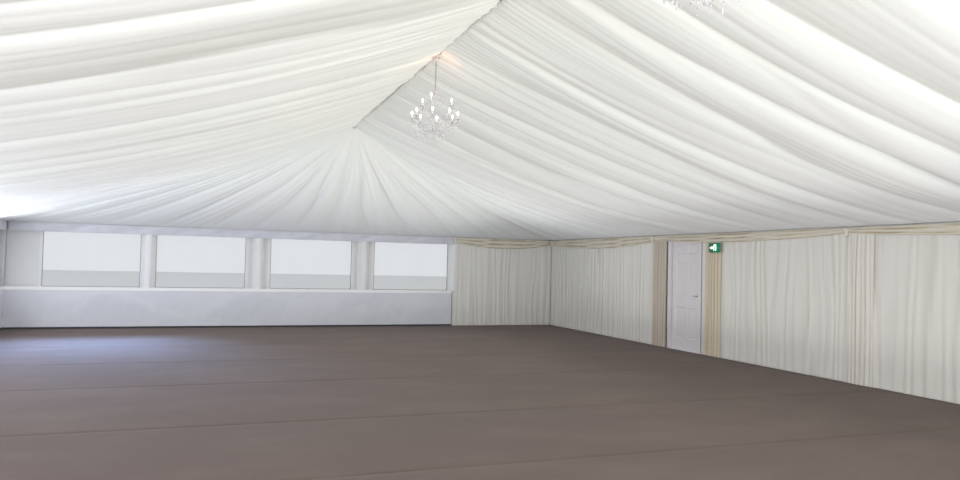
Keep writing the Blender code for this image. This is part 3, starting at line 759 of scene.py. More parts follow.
def mesh_from(name: str, bm: bmesh.types.BMesh) -> bpy.types.Mesh:
    """Turn a bmesh into a named mesh, and free it.

    Args:
        name: the mesh's name.
        bm: the bmesh.

    Returns:
        The mesh.
    """
    mesh = bpy.data.meshes.new(name)
    bm.to_mesh(mesh)
    bm.free()
    return mesh


def lines_mesh(
    name: str, points: Sequence[Point], edges: Sequence[tuple[int, int]] = ()
) -> bpy.types.Mesh:
    """Mesh of loose points and edges, for a recipe to read.

    Args:
        name: the mesh's name.
        points: the points.
        edges: pairs of points that are joined.

    Returns:
        The mesh.
    """
    mesh = bpy.data.meshes.new(name)
    mesh.from_pydata(points, edges, [])
    return mesh


def stretch(start: Point, end: Point) -> tuple[Vector, Vector, Vector]:
    """Start, way and inward direction of a length of wall, from its ends."""
    way = Vector(end) - Vector(start)
    return Vector(start), way, way.cross(UP).normalized()


def end_rail(node: str) -> str:
    """The rail or end frame that carries the cloth of a named wall."""
    word = node.split("_")[0]
    return f"{word}_eaves_rail" if word in ("left", "right") else f"{word}_end_frame"


def closed(piece: Piece) -> Piece:
    """Fill a piece's open ends and turn its faces outwards.

    Args:
        piece: the piece.

    Returns:
        The same piece.
    """
    bm = bmesh.new()
    bm.from_mesh(piece.data)
    bmesh.ops.remove_doubles(bm, verts=bm.verts, dist=1e-6)
    bmesh.ops.holes_fill(bm, edges=bm.edges)
    bmesh.ops.recalc_face_normals(bm, faces=bm.faces)
    bm.to_mesh(piece.data)
    bm.free()
    return piece


def dress(node: str, look: Look) -> None:
    """Give a CAD node that stays in view its finish.

    Args:
        node: the node.
        look: its finish.
    """
    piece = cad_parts[node]
    material = look.value.material()
    if not piece.data.materials:
        piece.data.materials.append(material)
    for slot in piece.material_slots:
        slot.material = material


class Recipe:
    """A Geometry Nodes tree with named inputs, run into a plain mesh."""

    def __init__(self, name: str, inputs: dict[str, object]) -> None:
        """Make the tree.

        Args:
            name: the tree's name.
            inputs: the inputs and their usual values, in order.
        """
        self.tree = bpy.data.node_groups.new(name, "GeometryNodeTree")
        self.graph = Graph(self.tree)
        face = self.tree.interface
        face.new_socket("Geometry", in_out="OUTPUT", socket_type="NodeSocketGeometry")
        face.new_socket("Geometry", in_out="INPUT", socket_type="NodeSocketGeometry")
        kinds = {float: "NodeSocketFloat", int: "NodeSocketInt", tuple: "NodeSocketVector"}
        self.idents: dict[str, str] = {}
        for label, usual in {**inputs, "Finish": None}.items():
            kind = kinds.get(type(usual), "NodeSocketMaterial")
            socket = face.new_socket(label, in_out="INPUT", socket_type=kind)
            if usual is not None:
                socket.default_value = usual
            self.idents[label] = socket.identifier
        self.given = self.tree.nodes.new("NodeGroupInput")

    def take(self, label: str) -> Value:
        """The value of a named input."""
        return Value(self.graph, self.given.outputs[label])

    def grid(self) -> tuple[Value, Value, Value]:
        """A grid of named columns and rows, with its shares across and along from 0 to 1.

        Returns:
            The grid, the share across and the share along.
        """
        sizes = {"Size X": 1.0, "Size Y": 1.0, "Vertices X": self.take("Columns"),
                 "Vertices Y": self.take("Rows")}
        x, y, _ = self.graph.split(self.graph.add("GeometryNodeInputPosition"))
        return self.graph.add("GeometryNodeMeshGrid", inputs=sizes), x + 0.5, y + 0.5

    def noise(self, *at: "Value | float", detail: float = 1.0) -> Value:
        """Smooth noise from 0 to 1 over three measures."""
        return self.graph.noise(self.graph.joined(*at), 1.0, detail)

    def spots(self) -> Value:
        """A point at each vertex of the base mesh."""
        return self.graph.add("GeometryNodeMeshToPoints", inputs={"Mesh": self.take("Geometry")})

    def paces(self) -> Value:
        """Points along the base mesh's lines, one at each named step.

        Returns:
            The points.
        """
        curve = self.graph.add("GeometryNodeMeshToCurve", inputs={"Mesh": self.take("Geometry")})
        inputs = {"Curve": curve, "Length": self.take("Step")}
        return self.graph.add("GeometryNodeCurveToPoints", {"mode": "LENGTH"}, inputs)

    def moved(self, geometry: Value, **changes: "Value | Point") -> Value:
        """Geometry with its Translation, Rotation or Scale changed."""
        return self.graph.add("GeometryNodeTransform", inputs={"Geometry": geometry, **changes})

    def together(self, *parts: Value) -> Value:
        """Geometry joined into one.

        Args:
            parts: what is joined.

        Returns:
            All of it.
        """
        node = self.tree.nodes.new("GeometryNodeJoinGeometry")
        for part in parts:
            self.tree.links.new(part.socket, node.inputs[0])
        return Value(self.graph, node.outputs[0])

    def scatter(
        self, points: Value, instance: Value, turn: float, size: "Value | float" = 1.0,
        smooth: bool = False,
    ) -> None:
        """End the tree with an instance on each point, each turned further than the last.

        Args:
            points: where they go.
            instance: what is repeated.
            turn: angle in radians from one to the next.
            size: its scale.
            smooth: shades the faces smooth.
        """
        angle = self.graph.add("GeometryNodeInputIndex") * turn
        inputs = {"Points": points, "Instance": instance,
                  "Rotation": self.graph.joined(0.0, 0.0, angle),
                  "Scale": self.graph.joined(size, size, size)}
        self.close(self.graph.add("GeometryNodeInstanceOnPoints", inputs=inputs), smooth)

    def shape(self, grid: Value, place: Value, flip: bool = False, **fields: Value) -> "Recipe":
        """End the tree with the grid's points put in place, after its fields are kept.

        Args:
            grid: the grid.
            place: where each point goes.
            flip: turns the faces over.
            fields: what is kept on the mesh, by name.

        Returns:
            The recipe.
        """
        inputs = {"Geometry": self.graph.marked(grid, **fields), "Position": place}
        shaped = self.graph.add("GeometryNodeSetPosition", inputs=inputs)
        self.close(self.graph.add("GeometryNodeFlipFaces", inputs={0: shaped}) if flip else shaped)
        return self

    def close(self, geometry: Value, smooth: bool = True) -> None:
        """End the tree: instances made real, and the finish put on.

        Args:
            geometry: the geometry.
            smooth: shades the faces smooth.
        """
        real = self.graph.add("GeometryNodeRealizeInstances", inputs={0: geometry})
        inputs = {"Geometry": real, "Shade Smooth": smooth}
        shaded = self.graph.add("GeometryNodeSetShadeSmooth", inputs=inputs)
        inputs = {"Geometry": shaded, "Material": self.take("Finish")}
        dressed = self.graph.add("GeometryNodeSetMaterial", inputs=inputs)
        self.tree.links.new(dressed.socket, self.tree.nodes.new("NodeGroupOutput").inputs[0])

    def bake(
        self, name: str, look: Look, values: dict[str, object], base: bpy.types.Mesh | None = None
    ) -> Piece:
        """Run the tree once.

        Args:
            name: the new piece's name.
            look: its finish.
            values: inputs that differ from the usual ones.
            base: the mesh that the tree reads, where it reads one.

        Returns:
            The piece, as a plain mesh at the origin.
        """
        carrier = bpy.data.objects.new(f"{name}_carrier", base or bpy.data.meshes.new(name))
        bpy.context.scene.collection.objects.link(carrier)
        modifier = carrier.modifiers.new("recipe", "NODES")
        modifier.node_group = self.tree
        for label, value in {**values, "Finish": look.value.material()}.items():
            modifier[self.idents[label]] = value
        graph = bpy.context.evaluated_depsgraph_get()
        mesh = bpy.data.meshes.new_from_object(
            carrier.evaluated_get(graph), preserve_all_data_layers=True, depsgraph=graph
        )
        carrier.modifiers.clear()
        bpy.data.objects.remove(carrier)
        mesh.name = name
        return link(name, mesh)


# The marquee's main lines, as the packed model has them


@dataclass(frozen=True)
class Plan:
    """Sizes that several parts share, in metres."""

    inner_x: float = 5.88
    inner_y: float = 9.08
    half_span: float = 6.0
    half_length: float = 9.2
    hip_start: float = 4.6
    bay: float = 4.6
    crown: float = 4.634
    cover_ridge: float = 3.98
    roof_slope: float = 0.28
    lining_ridge: float = 3.757
    lining_eave: float = 2.134
    eave: float = 2.12
    floor: float = 0.03
    door_front: float = 3.15
    door_back: float = 4.14
    frames: tuple[float, ...] = (-4.6, 0.0, 4.6)


PLAN = Plan()


@dataclass
class RoofLining:
    """Pleated cloth under the roof: gathered on the ridge, rolling down in long soft folds."""

    columns: int = 300
    rows: int = 76
    frame_sag: float = 0.150
    bay_sag: float = 0.060
    hip_sag: float = 0.116
    roll_depth: float = 0.088
    pleat_depth: float = 0.020
    gather_depth: float = 0.009
    ridge_gap: float = 0.012
    pieces: Pieces = field(default_factory=list)

    def recipe(self) -> Recipe:
        """Tree for one panel between two seams, from the ridge at t = 0 to the eave at t = 1.

        Returns:
            The tree.
        """
        recipe = Recipe("pleated_lining", {
            "Columns": self.columns, "Rows": self.rows,
            **dict.fromkeys(CORNERS, ORIGIN),
            "Sag start": self.frame_sag, "Sag end": self.frame_sag, "Bay sag": self.bay_sag,
            "Rolls": 6.5, "Roll depth": self.roll_depth,
            "Pleats": 17.0, "Pleat depth": self.pleat_depth,
            "Gathers": 46.0, "Gather depth": self.gather_depth,
            "Shade": 0.66, "Fan": 0.0, "Mirror": 0.0, "Width": 4.6, "Length": 6.1, "Seed": 1.0,
        })
        g, take = recipe.graph, recipe.take
        grid, v, t = recipe.grid()
        seed = take("Seed") * 7.31
        held = (v * (1 - v) * 4).most(0.0)

        def drift(pace: float, along: float, shift: float) -> Value:
            """Slow noise from -0.5 to 0.5, by its pace across and along."""
            return recipe.noise(v * pace + seed, t * along, shift) - 0.5

        onward = v + take("Mirror") * (1 - 2 * v)

        def folded(count: Value, wobble: Value, rise: float, fall: float) -> tuple[Value, Value]:
            """Height and phase of folds, skewed by the powers of their rise and fall."""
            phase = (onward * count + wobble * held).fract().most(1e-4).least(1 - 1e-4)
            peak = (rise / (rise + fall)) ** rise * (fall / (rise + fall)) ** fall
            return phase ** rise * (1 - phase) ** fall / peak, phase

        slow = 3.6 * drift(2.2, 0.0, 0.0) + 1.1 * drift(5.0, 1.3, 4.0)
        roll, roll_phase = folded(take("Rolls"), slow, 0.62, 1.15)
        pleat, pleat_phase = folded(take("Pleats"), 5.5 * drift(4.0, 0.6, 9.0), 0.8, 1.1)
        gather, _ = folded(take("Gathers"), 6.0 * drift(9.0, 0.3, 17.0), 0.9, 0.9)
        uneven = recipe.noise(v * take("Rolls") * 0.7 + seed, t * 0.6, 30.0, detail=0.0)
        uneven = 0.35 + 1.3 * uneven
        patchy = recipe.noise(v * take("Rolls") * 1.1 + seed, t * 1.9, 41.0, detail=0.0)
        patchy = 2.6 * (patchy - 0.28).most(0.06)
        spread = 1 - take("Fan") * (1 - (t * 2.4).least(1.0))
        belly = (t * (1 - t) * 4).most(0.0) ** 0.62
        drop = roll * take("Roll depth") * uneven * belly * spread * (held * 20).least(1.0)
        loose = 1 - t ** 12
        drop = drop + pleat * take("Pleat depth") * patchy * (0.35 + 0.65 * (1 - t)) * spread * loose
        drop = drop + gather * take("Gather depth") * ((1 - t) ** 7 + 0.10 * loose) * spread

        ridge = g.between(v, take("Ridge start"), take("Ridge end"))
        eave = g.between(v, take("Eave start"), take("Eave end"))
        sag = take("Sag start") * (1 - v) + take("Sag end") * v
        sag = sag + take("Bay sag") * abs((v * math.pi).sin()) ** 0.7
        drop = drop + sag * 4 * t * (1 - t)
        place = g.vector("SUBTRACT", g.between(t, ridge, eave), g.joined(0.0, 0.0, drop))

        # Painted shade for the finish: dark in the hollows of the rolls, along the pleat creases, and
        # in the gathers near the ridge.
        painted_hollow_shade = roll_phase ** 2.6 * ((1 - roll_phase) * 16).least(1.0) * belly
        painted_hollow_shade = painted_hollow_shade * uneven.least(1.2) * spread
        crease = pleat_phase ** 3 * ((1 - pleat_phase) * 6).least(1.0)
        depth = painted_hollow_shade * take("Shade") + crease * 0.40 * patchy.least(1.0)
        depth = depth + (1 - gather) * 0.30 * (1 - t) ** 5
        cut = g.joined(v * take("Width"), t * take("Length"), 0.0)
        return recipe.shape(grid, place, flip=True, fold=depth.least(1.0), reach=t, UVMap=cut)

    def side_panels(self, recipe: Recipe, side: int, word: str) -> None:
        """The four panels of a long slope; the outer two fan from the crown.

        Args:
            recipe: the tree that is run.
            side: -1 for the left, 1 for the right.
            word: which side it is, in words.
        """
        stops = (-PLAN.inner_y + 0.001, -PLAN.hip_start, 0.0, PLAN.hip_start, PLAN.inner_y - 0.001)
        x0, x1 = side * self.ridge_gap / 2, side * (PLAN.inner_x - 0.002)
        for number, (a, b) in enumerate(zip(stops, stops[1:]), start=1):
            outer = number in (1, 4)
            ends = [max(-PLAN.hip_start, min(PLAN.hip_start, y)) for y in (a, b)]
            sags = [self.hip_sag if abs(y) > PLAN.hip_start else self.frame_sag for y in (a, b)]
            corners = [(x0, ends[0], PLAN.lining_ridge), (x0, ends[1], PLAN.lining_ridge),
                       (x1, a, PLAN.lining_eave), (x1, b, PLAN.lining_eave)]
            if side > 0:
                corners = [corners[1], corners[0], corners[3], corners[2]]
                sags.reverse()
            values = dict(zip(CORNERS, corners))
            values |= {"Sag start": sags[0], "Sag end": sags[1], "Seed": float(number * 2 + side),
                       "Mirror": float(side > 0)}
            if side < 0:
                values |= {"Rolls": 8.0, "Roll depth": 0.060, "Shade": 0.80, "Pleats": 21.0}
            if outer:
                values |= {"Fan": 1.0, "Bay sag": 0.02, "Rolls": 6.0, "Pleats": 14.0, "Gathers": 30.0,
                           "Columns": 220, "Shade": 0.58}
            piece = recipe.bake(f"{word}_lining_panel_{number}", Look.LINING, values)
            self.pieces.append(hang(
                piece, "roof_lining", f"{word}_roof_lining", 6.4, "gathered", "ridge_beam",
                f"{word}_eaves_rail", width=5.4 if outer else 0.0))

    def end_panel(self, recipe: Recipe, end: int, word: str) -> None:
        """The hipped end, one fan from the crown to the end eave.

        Args:
            recipe: the tree that is run.
            end: -1 for the front, 1 for the back.
            word: which side it is, in words.
        """
        crown = end * (PLAN.hip_start + 0.001)
        reach = PLAN.inner_x - 0.003
        top, low = PLAN.lining_ridge, PLAN.lining_eave
        y = end * (PLAN.inner_y - 0.002)
        corners = ((0.0, crown, top), (0.0, crown, top), (-end * reach, y, low), (end * reach, y, low))
        values = {
            **dict(zip(CORNERS, corners)),
            "Sag start": self.hip_sag, "Sag end": self.hip_sag, "Bay sag": 0.0, "Fan": 1.0,
            "Rolls": 13.0, "Pleats": 36.0, "Gathers": 60.0, "Columns": 420, "Roll depth": 0.042,
            "Shade": 0.45, "Width": 11.8, "Length": 4.8, "Seed": 20.0 + end,
        }
        piece = recipe.bake(f"{word}_hip_lining_fan", Look.LINING, values)
        self.pieces.append(hang(
            piece, "roof_lining", f"{word}_hip_lining", 5.0, "gathered", "ridge_beam",
            f"{word}_end_frame", width=13.4))

    def build(self) -> Pieces:
        """Bake the ten panels.

        Returns:
            The pieces.
        """
        recipe = self.recipe()
        for side, word in SIDES:
            self.side_panels(recipe, side, word)
        for end, word in ENDS:
            self.end_panel(recipe, end, word)
        return self.pieces


@dataclass
class RidgeTape:
    """Dark tape that gathers the two slopes of the lining, slack between its ties."""

    width: float = 0.028
    drop: float = 0.014
    slack: float = 0.024
    step: float = 0.02

    def height(self, y: np.ndarray) -> np.ndarray:
        """Height of the tape along the ridge."""
        swing = np.sin(math.pi * (y + PLAN.hip_start) / PLAN.bay) ** 2
        return PLAN.lining_ridge - 0.004 - self.slack * swing

    def tape(self) -> Piece:
        """The ruched tape, as an open trough.

        Returns:
            The piece.
        """
        y = np.arange(-PLAN.hip_start - 0.01, PLAN.hip_start + 0.011, self.step)
        ruche = wander(y * 9.0, 3)
        pinch = wander(y * 14.0, 8)
        angle = np.linspace(-math.pi / 2, math.pi / 2, 9)
        half = self.width / 2 * (1 + 0.30 * ruche)[:, None]
        deep = self.drop * (1 + 0.35 * pinch)[:, None]
        x, along, across = np.broadcast_arrays(half * np.sin(angle), y[:, None], angle * self.width)
        points = np.stack([x, along, self.height(y)[:, None] - deep * np.cos(angle)], axis=-1)
        cut = np.stack([across, along], axis=-1)
        # Painted shade: darker where the tape hangs less deep, tucked up into the ridge.
        fold = np.broadcast_to((0.5 - 0.5 * pinch)[:, None], x.shape)
        piece = sheet_mesh("ridge_tape", points, Look.RIDGE, cut, fold)
        return hang(piece, "roof_lining", "", 9.2, "gathered", "ridge_beam")

    def tie(self, number: int, y: float) -> Piece:
        """Bunched tie where a frame meets the ridge.

        Args:
            number: its number, from 1.
            y: the frame's place along the ridge.

        Returns:
            The piece.
        """
        profile = [(0.0, 0.012), (0.024, 0.006), (0.036, -0.010), (0.032, -0.024), (0.015, -0.034),
                   (0.019, -0.044), (0.010, -0.052), (0.0, -0.053)]
        at = (0.0, y, PLAN.lining_ridge - 0.006)
        piece = turned_mesh(f"ridge_tie_{number}", profile, 48, at, Look.KNOT, 0.38, 9)
        return padded(piece, "roof_lining")

    def build(self) -> Pieces:
        """The tape and its ties."""
        return [self.tape()] + [self.tie(n, y) for n, y in enumerate(PLAN.frames, start=1)]


@dataclass
class HungCloth:
    """Cloth that hangs in upright folds: wall linings, leg drapes and the door's curtain."""

    pleat: float = 0.165
    wall_depth: float = 0.014
    hem: float = PLAN.floor + 0.006

    def recipe(self) -> Recipe:
        """Tree for one width of cloth that faces inwards, from its hem up.

        Returns:
            The tree.
        """
        recipe = Recipe("hung_folds", {
            "Columns": 400, "Rows": 18, "Start": (0.0, 0.0, 0.0), "End": (1.0, 0.0, 0.0),
            "Inward": (0.0, -1.0, 0.0), "Height": 2.0, "Width": 1.0, "Folds": 8.0, "Depth": 0.02,
            "Stand": 0.002, "Belly": 0.0, "Loose": 2.4, "Crisp": 0.15, "Tuck": 0.0, "Seed": 1.0,
        })
        g, take = recipe.graph, recipe.take
        grid, v, t = recipe.grid()
        seed = take("Seed") * 5.17
        count = take("Folds")
        held = (v * (1 - v) * 4).most(0.0).least(0.25) * 4
        slow = recipe.noise(v * count * 0.33 + seed, t * 0.5, 0.0) - 0.5
        quick = recipe.noise(v * count * 1.1 + seed, t * 1.3, 7.0) - 0.5
        phase = (v * count + (1.5 * slow + 0.5 * quick) * held * take("Loose")).fract()
        soft = 0.5 + 0.5 * ((phase + 0.25) * -math.tau).sin()
        crisp = abs((phase ** 1.15 * math.pi).sin()) ** 0.85
        fold = soft * (1 - take("Crisp")) + take("Crisp") * crisp
        uneven = recipe.noise(v * count * 0.9 + seed, t * 0.5, 19.0, detail=0.0)
        uneven = 0.15 + 2.4 * (uneven - 0.25).most(0.0)
        open_out = 1.0 - 0.35 * t ** 3
        belly = abs((v * math.pi).sin()) ** 0.5 * take("Belly")
        out = belly + fold * uneven * open_out * take("Depth")
        out = take("Stand") + out * (1 - take("Tuck") * t ** 8)
        place = g.between(v, take("Start"), take("End"))
        place = g.vector("ADD", place, g.scaled(take("Inward"), out))
        place = g.vector("ADD", place, g.joined(0.0, 0.0, t * take("Height")))
        cut = g.joined(v * take("Width"), t * take("Height"), 0.0)
        # Painted shade in the hollows between the folds, stronger where they are crisp.
        painted_hollow_shade = (1 - fold) ** 1.5 * (0.25 + 0.75 * take("Crisp")) * uneven.least(1.3)
        return recipe.shape(grid, place, fold=painted_hollow_shade.least(1.0), reach=t, UVMap=cut)

    def length_of(
        self, recipe: Recipe, name: str, node: str, slot: str, look: Look, start: Point, end: Point,
        **values: object,
    ) -> Piece:
        """One width of cloth.

        Args:
            recipe: the tree.
            name: the piece's name.
            node: the CAD node that it stands for.
            slot: the record's material slot.
            look: its finish.
            start: first lower corner, on the cloth's left when it is faced.
            end: last lower corner.
            values: more of the tree's inputs.

        Returns:
            The piece.
        """
        _, way, inward = stretch(start, end)
        given = {"Start": start, "End": end, "Inward": tuple(inward), "Width": way.length * 1.3}
        piece = recipe.bake(name, look, {**given, **values})
        rail = end_rail("back" if node.startswith("back") else "right")
        return hang(piece, slot, node, float(values["Height"]), "gathered", rail)

    def build(self) -> Pieces:
        """The lined walls, the three leg drapes and the curtain.

        Returns:
            The pieces.
        """
        recipe = self.recipe()
        x, y, low = PLAN.inner_x - 0.0008, PLAN.inner_y - 0.001, self.hem
        tall = PLAN.eave - low - 0.002
        walls = (
            ("right_wall_pleats_front", "right_wall_lining_front",
             (x, PLAN.door_front - 0.03, low), (x, -y, low)),
            ("right_wall_pleats_back", "right_wall_lining_back",
             (x, y, low), (x, PLAN.door_back + 0.03, low)),
            ("back_wall_pleats", "back_wall_lining", (3.286, y, low), (x - 0.012, y, low)),
        )
        pieces = []
        for seed, (name, node, start, end) in enumerate(walls, start=1):
            folds = round((Vector(end) - Vector(start)).length / self.pleat)
            pieces.append(self.length_of(
                recipe, name, node, "wall_lining", Look.WALL_PLEATS, start, end, Height=tall,
                Folds=float(folds), Columns=folds * 13 + 1, Depth=self.wall_depth, Seed=float(seed),
            ))
        tall = PLAN.eave - 0.035 - low
        # The first two leg drapes take the lit copy and the third the shaded copy of the same cloth.
        looks = (Look.LIT_DRAPE, Look.LIT_DRAPE, Look.DRAPE)
        drapes = [(f"leg_{n}_drape", f"leg_drape_{n}", look, y - 0.21, 0.43)
                  for n, (y, look) in enumerate(zip(PLAN.frames, looks), start=1)]
        drapes.append(("drawn_door_curtain", "door_curtain", Look.CURTAIN, 2.81, 0.42))
        for seed, (name, node, look, middle, width) in enumerate(drapes, start=11):
            edges = [(x - 0.0085, middle + side * width / 2, low) for side in (1, -1)]
            pieces.append(self.length_of(
                recipe, name, node, "curtain_cloth", look, *edges, Height=tall, Folds=6.0, Columns=97,
                Rows=28, Depth=0.024, Belly=0.020, Loose=1.0, Crisp=0.8, Tuck=0.9, Seed=float(seed),
            ))
        return pieces


@dataclass
class Pelmets:
    """Bands under the eaves: swagged on the lined walls, plain over the windows."""

    drop: float = 0.17
    swag_drops: tuple[float, ...] = (0.150, 0.145, 0.145, 0.205)
    end_drop: float = 0.225
    columns: int = 190
    rows: int = 30

    @staticmethod
    def on_wall(start: Vector, along: Vector, inward: Vector, s: np.ndarray, out: np.ndarray,
                z: np.ndarray) -> np.ndarray:
        """Points from measures along, out from and up a wall.

        Args:
            start: where the measures start.
            along: the whole way along the wall.
            inward: level direction into the tent.
            s: shares of the way along.
            out: measures into the tent.
            z: heights.

        Returns:
            The places.
        """
        base = np.array(start) + s[..., None] * np.array(along) + out[..., None] * np.array(inward)
        base[..., 2] = z
        return base

    def swag(
        self, name: str, node: str, start: Point, end: Point, drop: float, seed: int
    ) -> Piece:
        """One swag between two knots, in crossed gathers.

        Args:
            name: the piece's name.
            node: the CAD node that it stands for.
            start: its left end, as it is faced.
            end: its right end.
            drop: how far it hangs.
            seed: sets its small unevenness.

        Returns:
            The piece.
        """
        start, along, inward = stretch(start, end)
        s, r = np.meshgrid(np.linspace(0, 1, self.columns), np.linspace(1, 0, self.rows))
        arch = np.sin(math.pi * s).clip(0) ** 0.75
        fall = drop * (0.50 + 0.53 * arch)
        slip = 0.30 * wander(s * 1.1, seed) + 0.10 * wander(s * 4.0 + r * 0.7, seed + 1)
        first = np.abs(np.sin(math.pi * (2.3 * r + 1.15 * s + slip))) ** 0.75
        second = np.abs(np.sin(math.pi * (2.3 * r - 1.15 * s + 0.35 - slip))) ** 0.75
        fine = np.abs(np.sin(math.pi * (7.5 * r + 0.9 * s * (1 - s) + 2 * slip)))
        gathers = np.maximum(first, second * 0.92) * 0.86 + fine * 0.14
        body = np.sin(math.pi * (0.04 + 0.93 * r)).clip(0) ** 0.55
        out = 0.003 + 0.018 * body + (gathers - 0.35) * 0.026 * body * (0.55 + 0.45 * arch)
        z = PLAN.eave - 0.002 - fall * r + 0.004 * gathers * body
        points = self.on_wall(start, along, inward, s, out.clip(0.001), z)
        cut = np.stack([s * along.length, r * drop * 1.6], axis=-1)
        # Painted shade: darker in the crevices between the gathers and along the lower hem.
        fold = ((1 - gathers) ** 0.9 * 1.25 + 0.30 * (r > 0.96)).clip(0, 1)
        piece = sheet_mesh(name, points, Look.SWAG, cut, fold)
        return hang(piece, "pelmet_cloth", node, along.length * 1.02, "gathered", end_rail(node))

    def knot(self, name: str, at: Point, look: Look = Look.SWAG) -> Piece:
        """Knot that gathers two swags, with its short tail.

        Args:
            name: the piece's name.
            at: the place of its top.
            look: its finish.

        Returns:
            The piece.
        """
        profile = [(0.0, 0.0), (0.022, -0.004), (0.031, -0.026), (0.024, -0.048), (0.014, -0.060),
                   (0.020, -0.085), (0.028, -0.125), (0.0, -0.128)]
        piece = turned_mesh(name, profile, 40, at, look, 0.42, 7)
        return padded(piece, "pelmet_cloth")

    def band(self, name: str, node: str, start: Point, end: Point, seed: int) -> Piece:
        """Plain band over the windows, a little wrinkled.

        Args:
            name: the piece's name.
            node: the CAD node that it stands for.
            start: its left end, as it is faced.
            end: its right end.
            seed: sets its small unevenness.

        Returns:
            The piece.
        """
        start, along, inward = stretch(start, end)
        count = round(along.length / 0.045)
        s, r = np.meshgrid(np.linspace(0, 1, count), np.linspace(1, 0, 10))
        pull = wander(s * along.length * 0.9 + r * 0.5, seed)
        pull = pull + 0.5 * wander(s * along.length * 2.7, seed + 1)
        out = 0.010 + 0.006 * np.sin(math.pi * r) + 0.0045 * pull * (0.4 + 0.6 * r)
        z = PLAN.eave - 0.002 - self.drop * r - 0.003 * wander(s * along.length * 0.5, seed + 2) * r
        points = self.on_wall(start, along, inward, s, out.clip(0.002), z)
        cut = np.stack([s * along.length, r * self.drop], axis=-1)
        # Painted shade: an even share of it, more along the lower edge and less where the cloth pulls
        # out into the tent.
        fold = (0.30 + 0.4 * (r > 0.90) - 0.25 * pull).clip(0, 1)
        piece = sheet_mesh(name, points, Look.BAND, cut, fold)
        return hang(piece, "pelmet_cloth", node, along.length, "hung", end_rail(node))

    def build(self) -> Pieces:
        """Swags and knots on the right and at the back, and plain bands elsewhere.

        Returns:
            The pieces.
        """
        x, y = PLAN.inner_x - 0.009, PLAN.inner_y - 0.009
        reach_x, reach_y = PLAN.inner_x - 0.058, PLAN.inner_y - 0.049
        stops = (-reach_y, -PLAN.hip_start, 0.0, PLAN.hip_start, reach_y)
        pieces = []
        for number, (a, b, drop) in enumerate(zip(stops, stops[1:], self.swag_drops), start=1):
            pieces.append(self.swag(
                f"right_swag_{number}", "right_pelmet", (x, b, 0), (x, a, 0), drop, 20 + number))
            at = (x - 0.030, b if number < 4 else b - 0.03, PLAN.eave - 0.003)
            pieces.append(self.knot(f"right_swag_knot_{number}", at))
        pieces.append(self.swag(
            "back_swag", "back_pelmet", (3.30, y, 0), (reach_x, y, 0), self.end_drop, 40))
        pieces.append(self.knot("back_swag_knot", (3.31, y - 0.030, PLAN.eave - 0.003)))
        edge, side = PLAN.inner_y - 0.0008, -x - 0.0085
        for word, start, end, seed in (
            ("left", (side, -reach_y, 0), (side, reach_y, 0), 51),
            ("front", (reach_x, -edge, 0), (-reach_x, -edge, 0), 54),
            ("back", (-reach_x, edge, 0), (3.28, edge, 0), 57),
        ):
            pieces.append(self.band(f"{word}_eaves_band", f"{word}_pelmet", start, end, seed))
        return pieces


class Wall(Enum):
    """The four walls: outward direction, and how far out the legs' outer faces stand."""

    LEFT = ((-1.0, 0.0), PLAN.half_span)
    RIGHT = ((1.0, 0.0), PLAN.half_span)
    FRONT = ((0.0, -1.0), PLAN.half_length)
    BACK = ((0.0, 1.0), PLAN.half_length)

    def points(self, u: np.ndarray, out: np.ndarray, z: np.ndarray) -> np.ndarray:
        """Places from measures along, out from and up the wall; the wall is faced from outside.

        Args:
            u: measures along the wall.
            out: measures out from the wall.
            z: heights.

        Returns:
            The places.
        """
        (nx, ny), stand = self.value
        along = np.array((-ny, nx, 0.0))
        base = (stand + out)[..., None] * np.array((nx, ny, 0.0)) + u[..., None] * along
        base[..., 2] = z
        return base


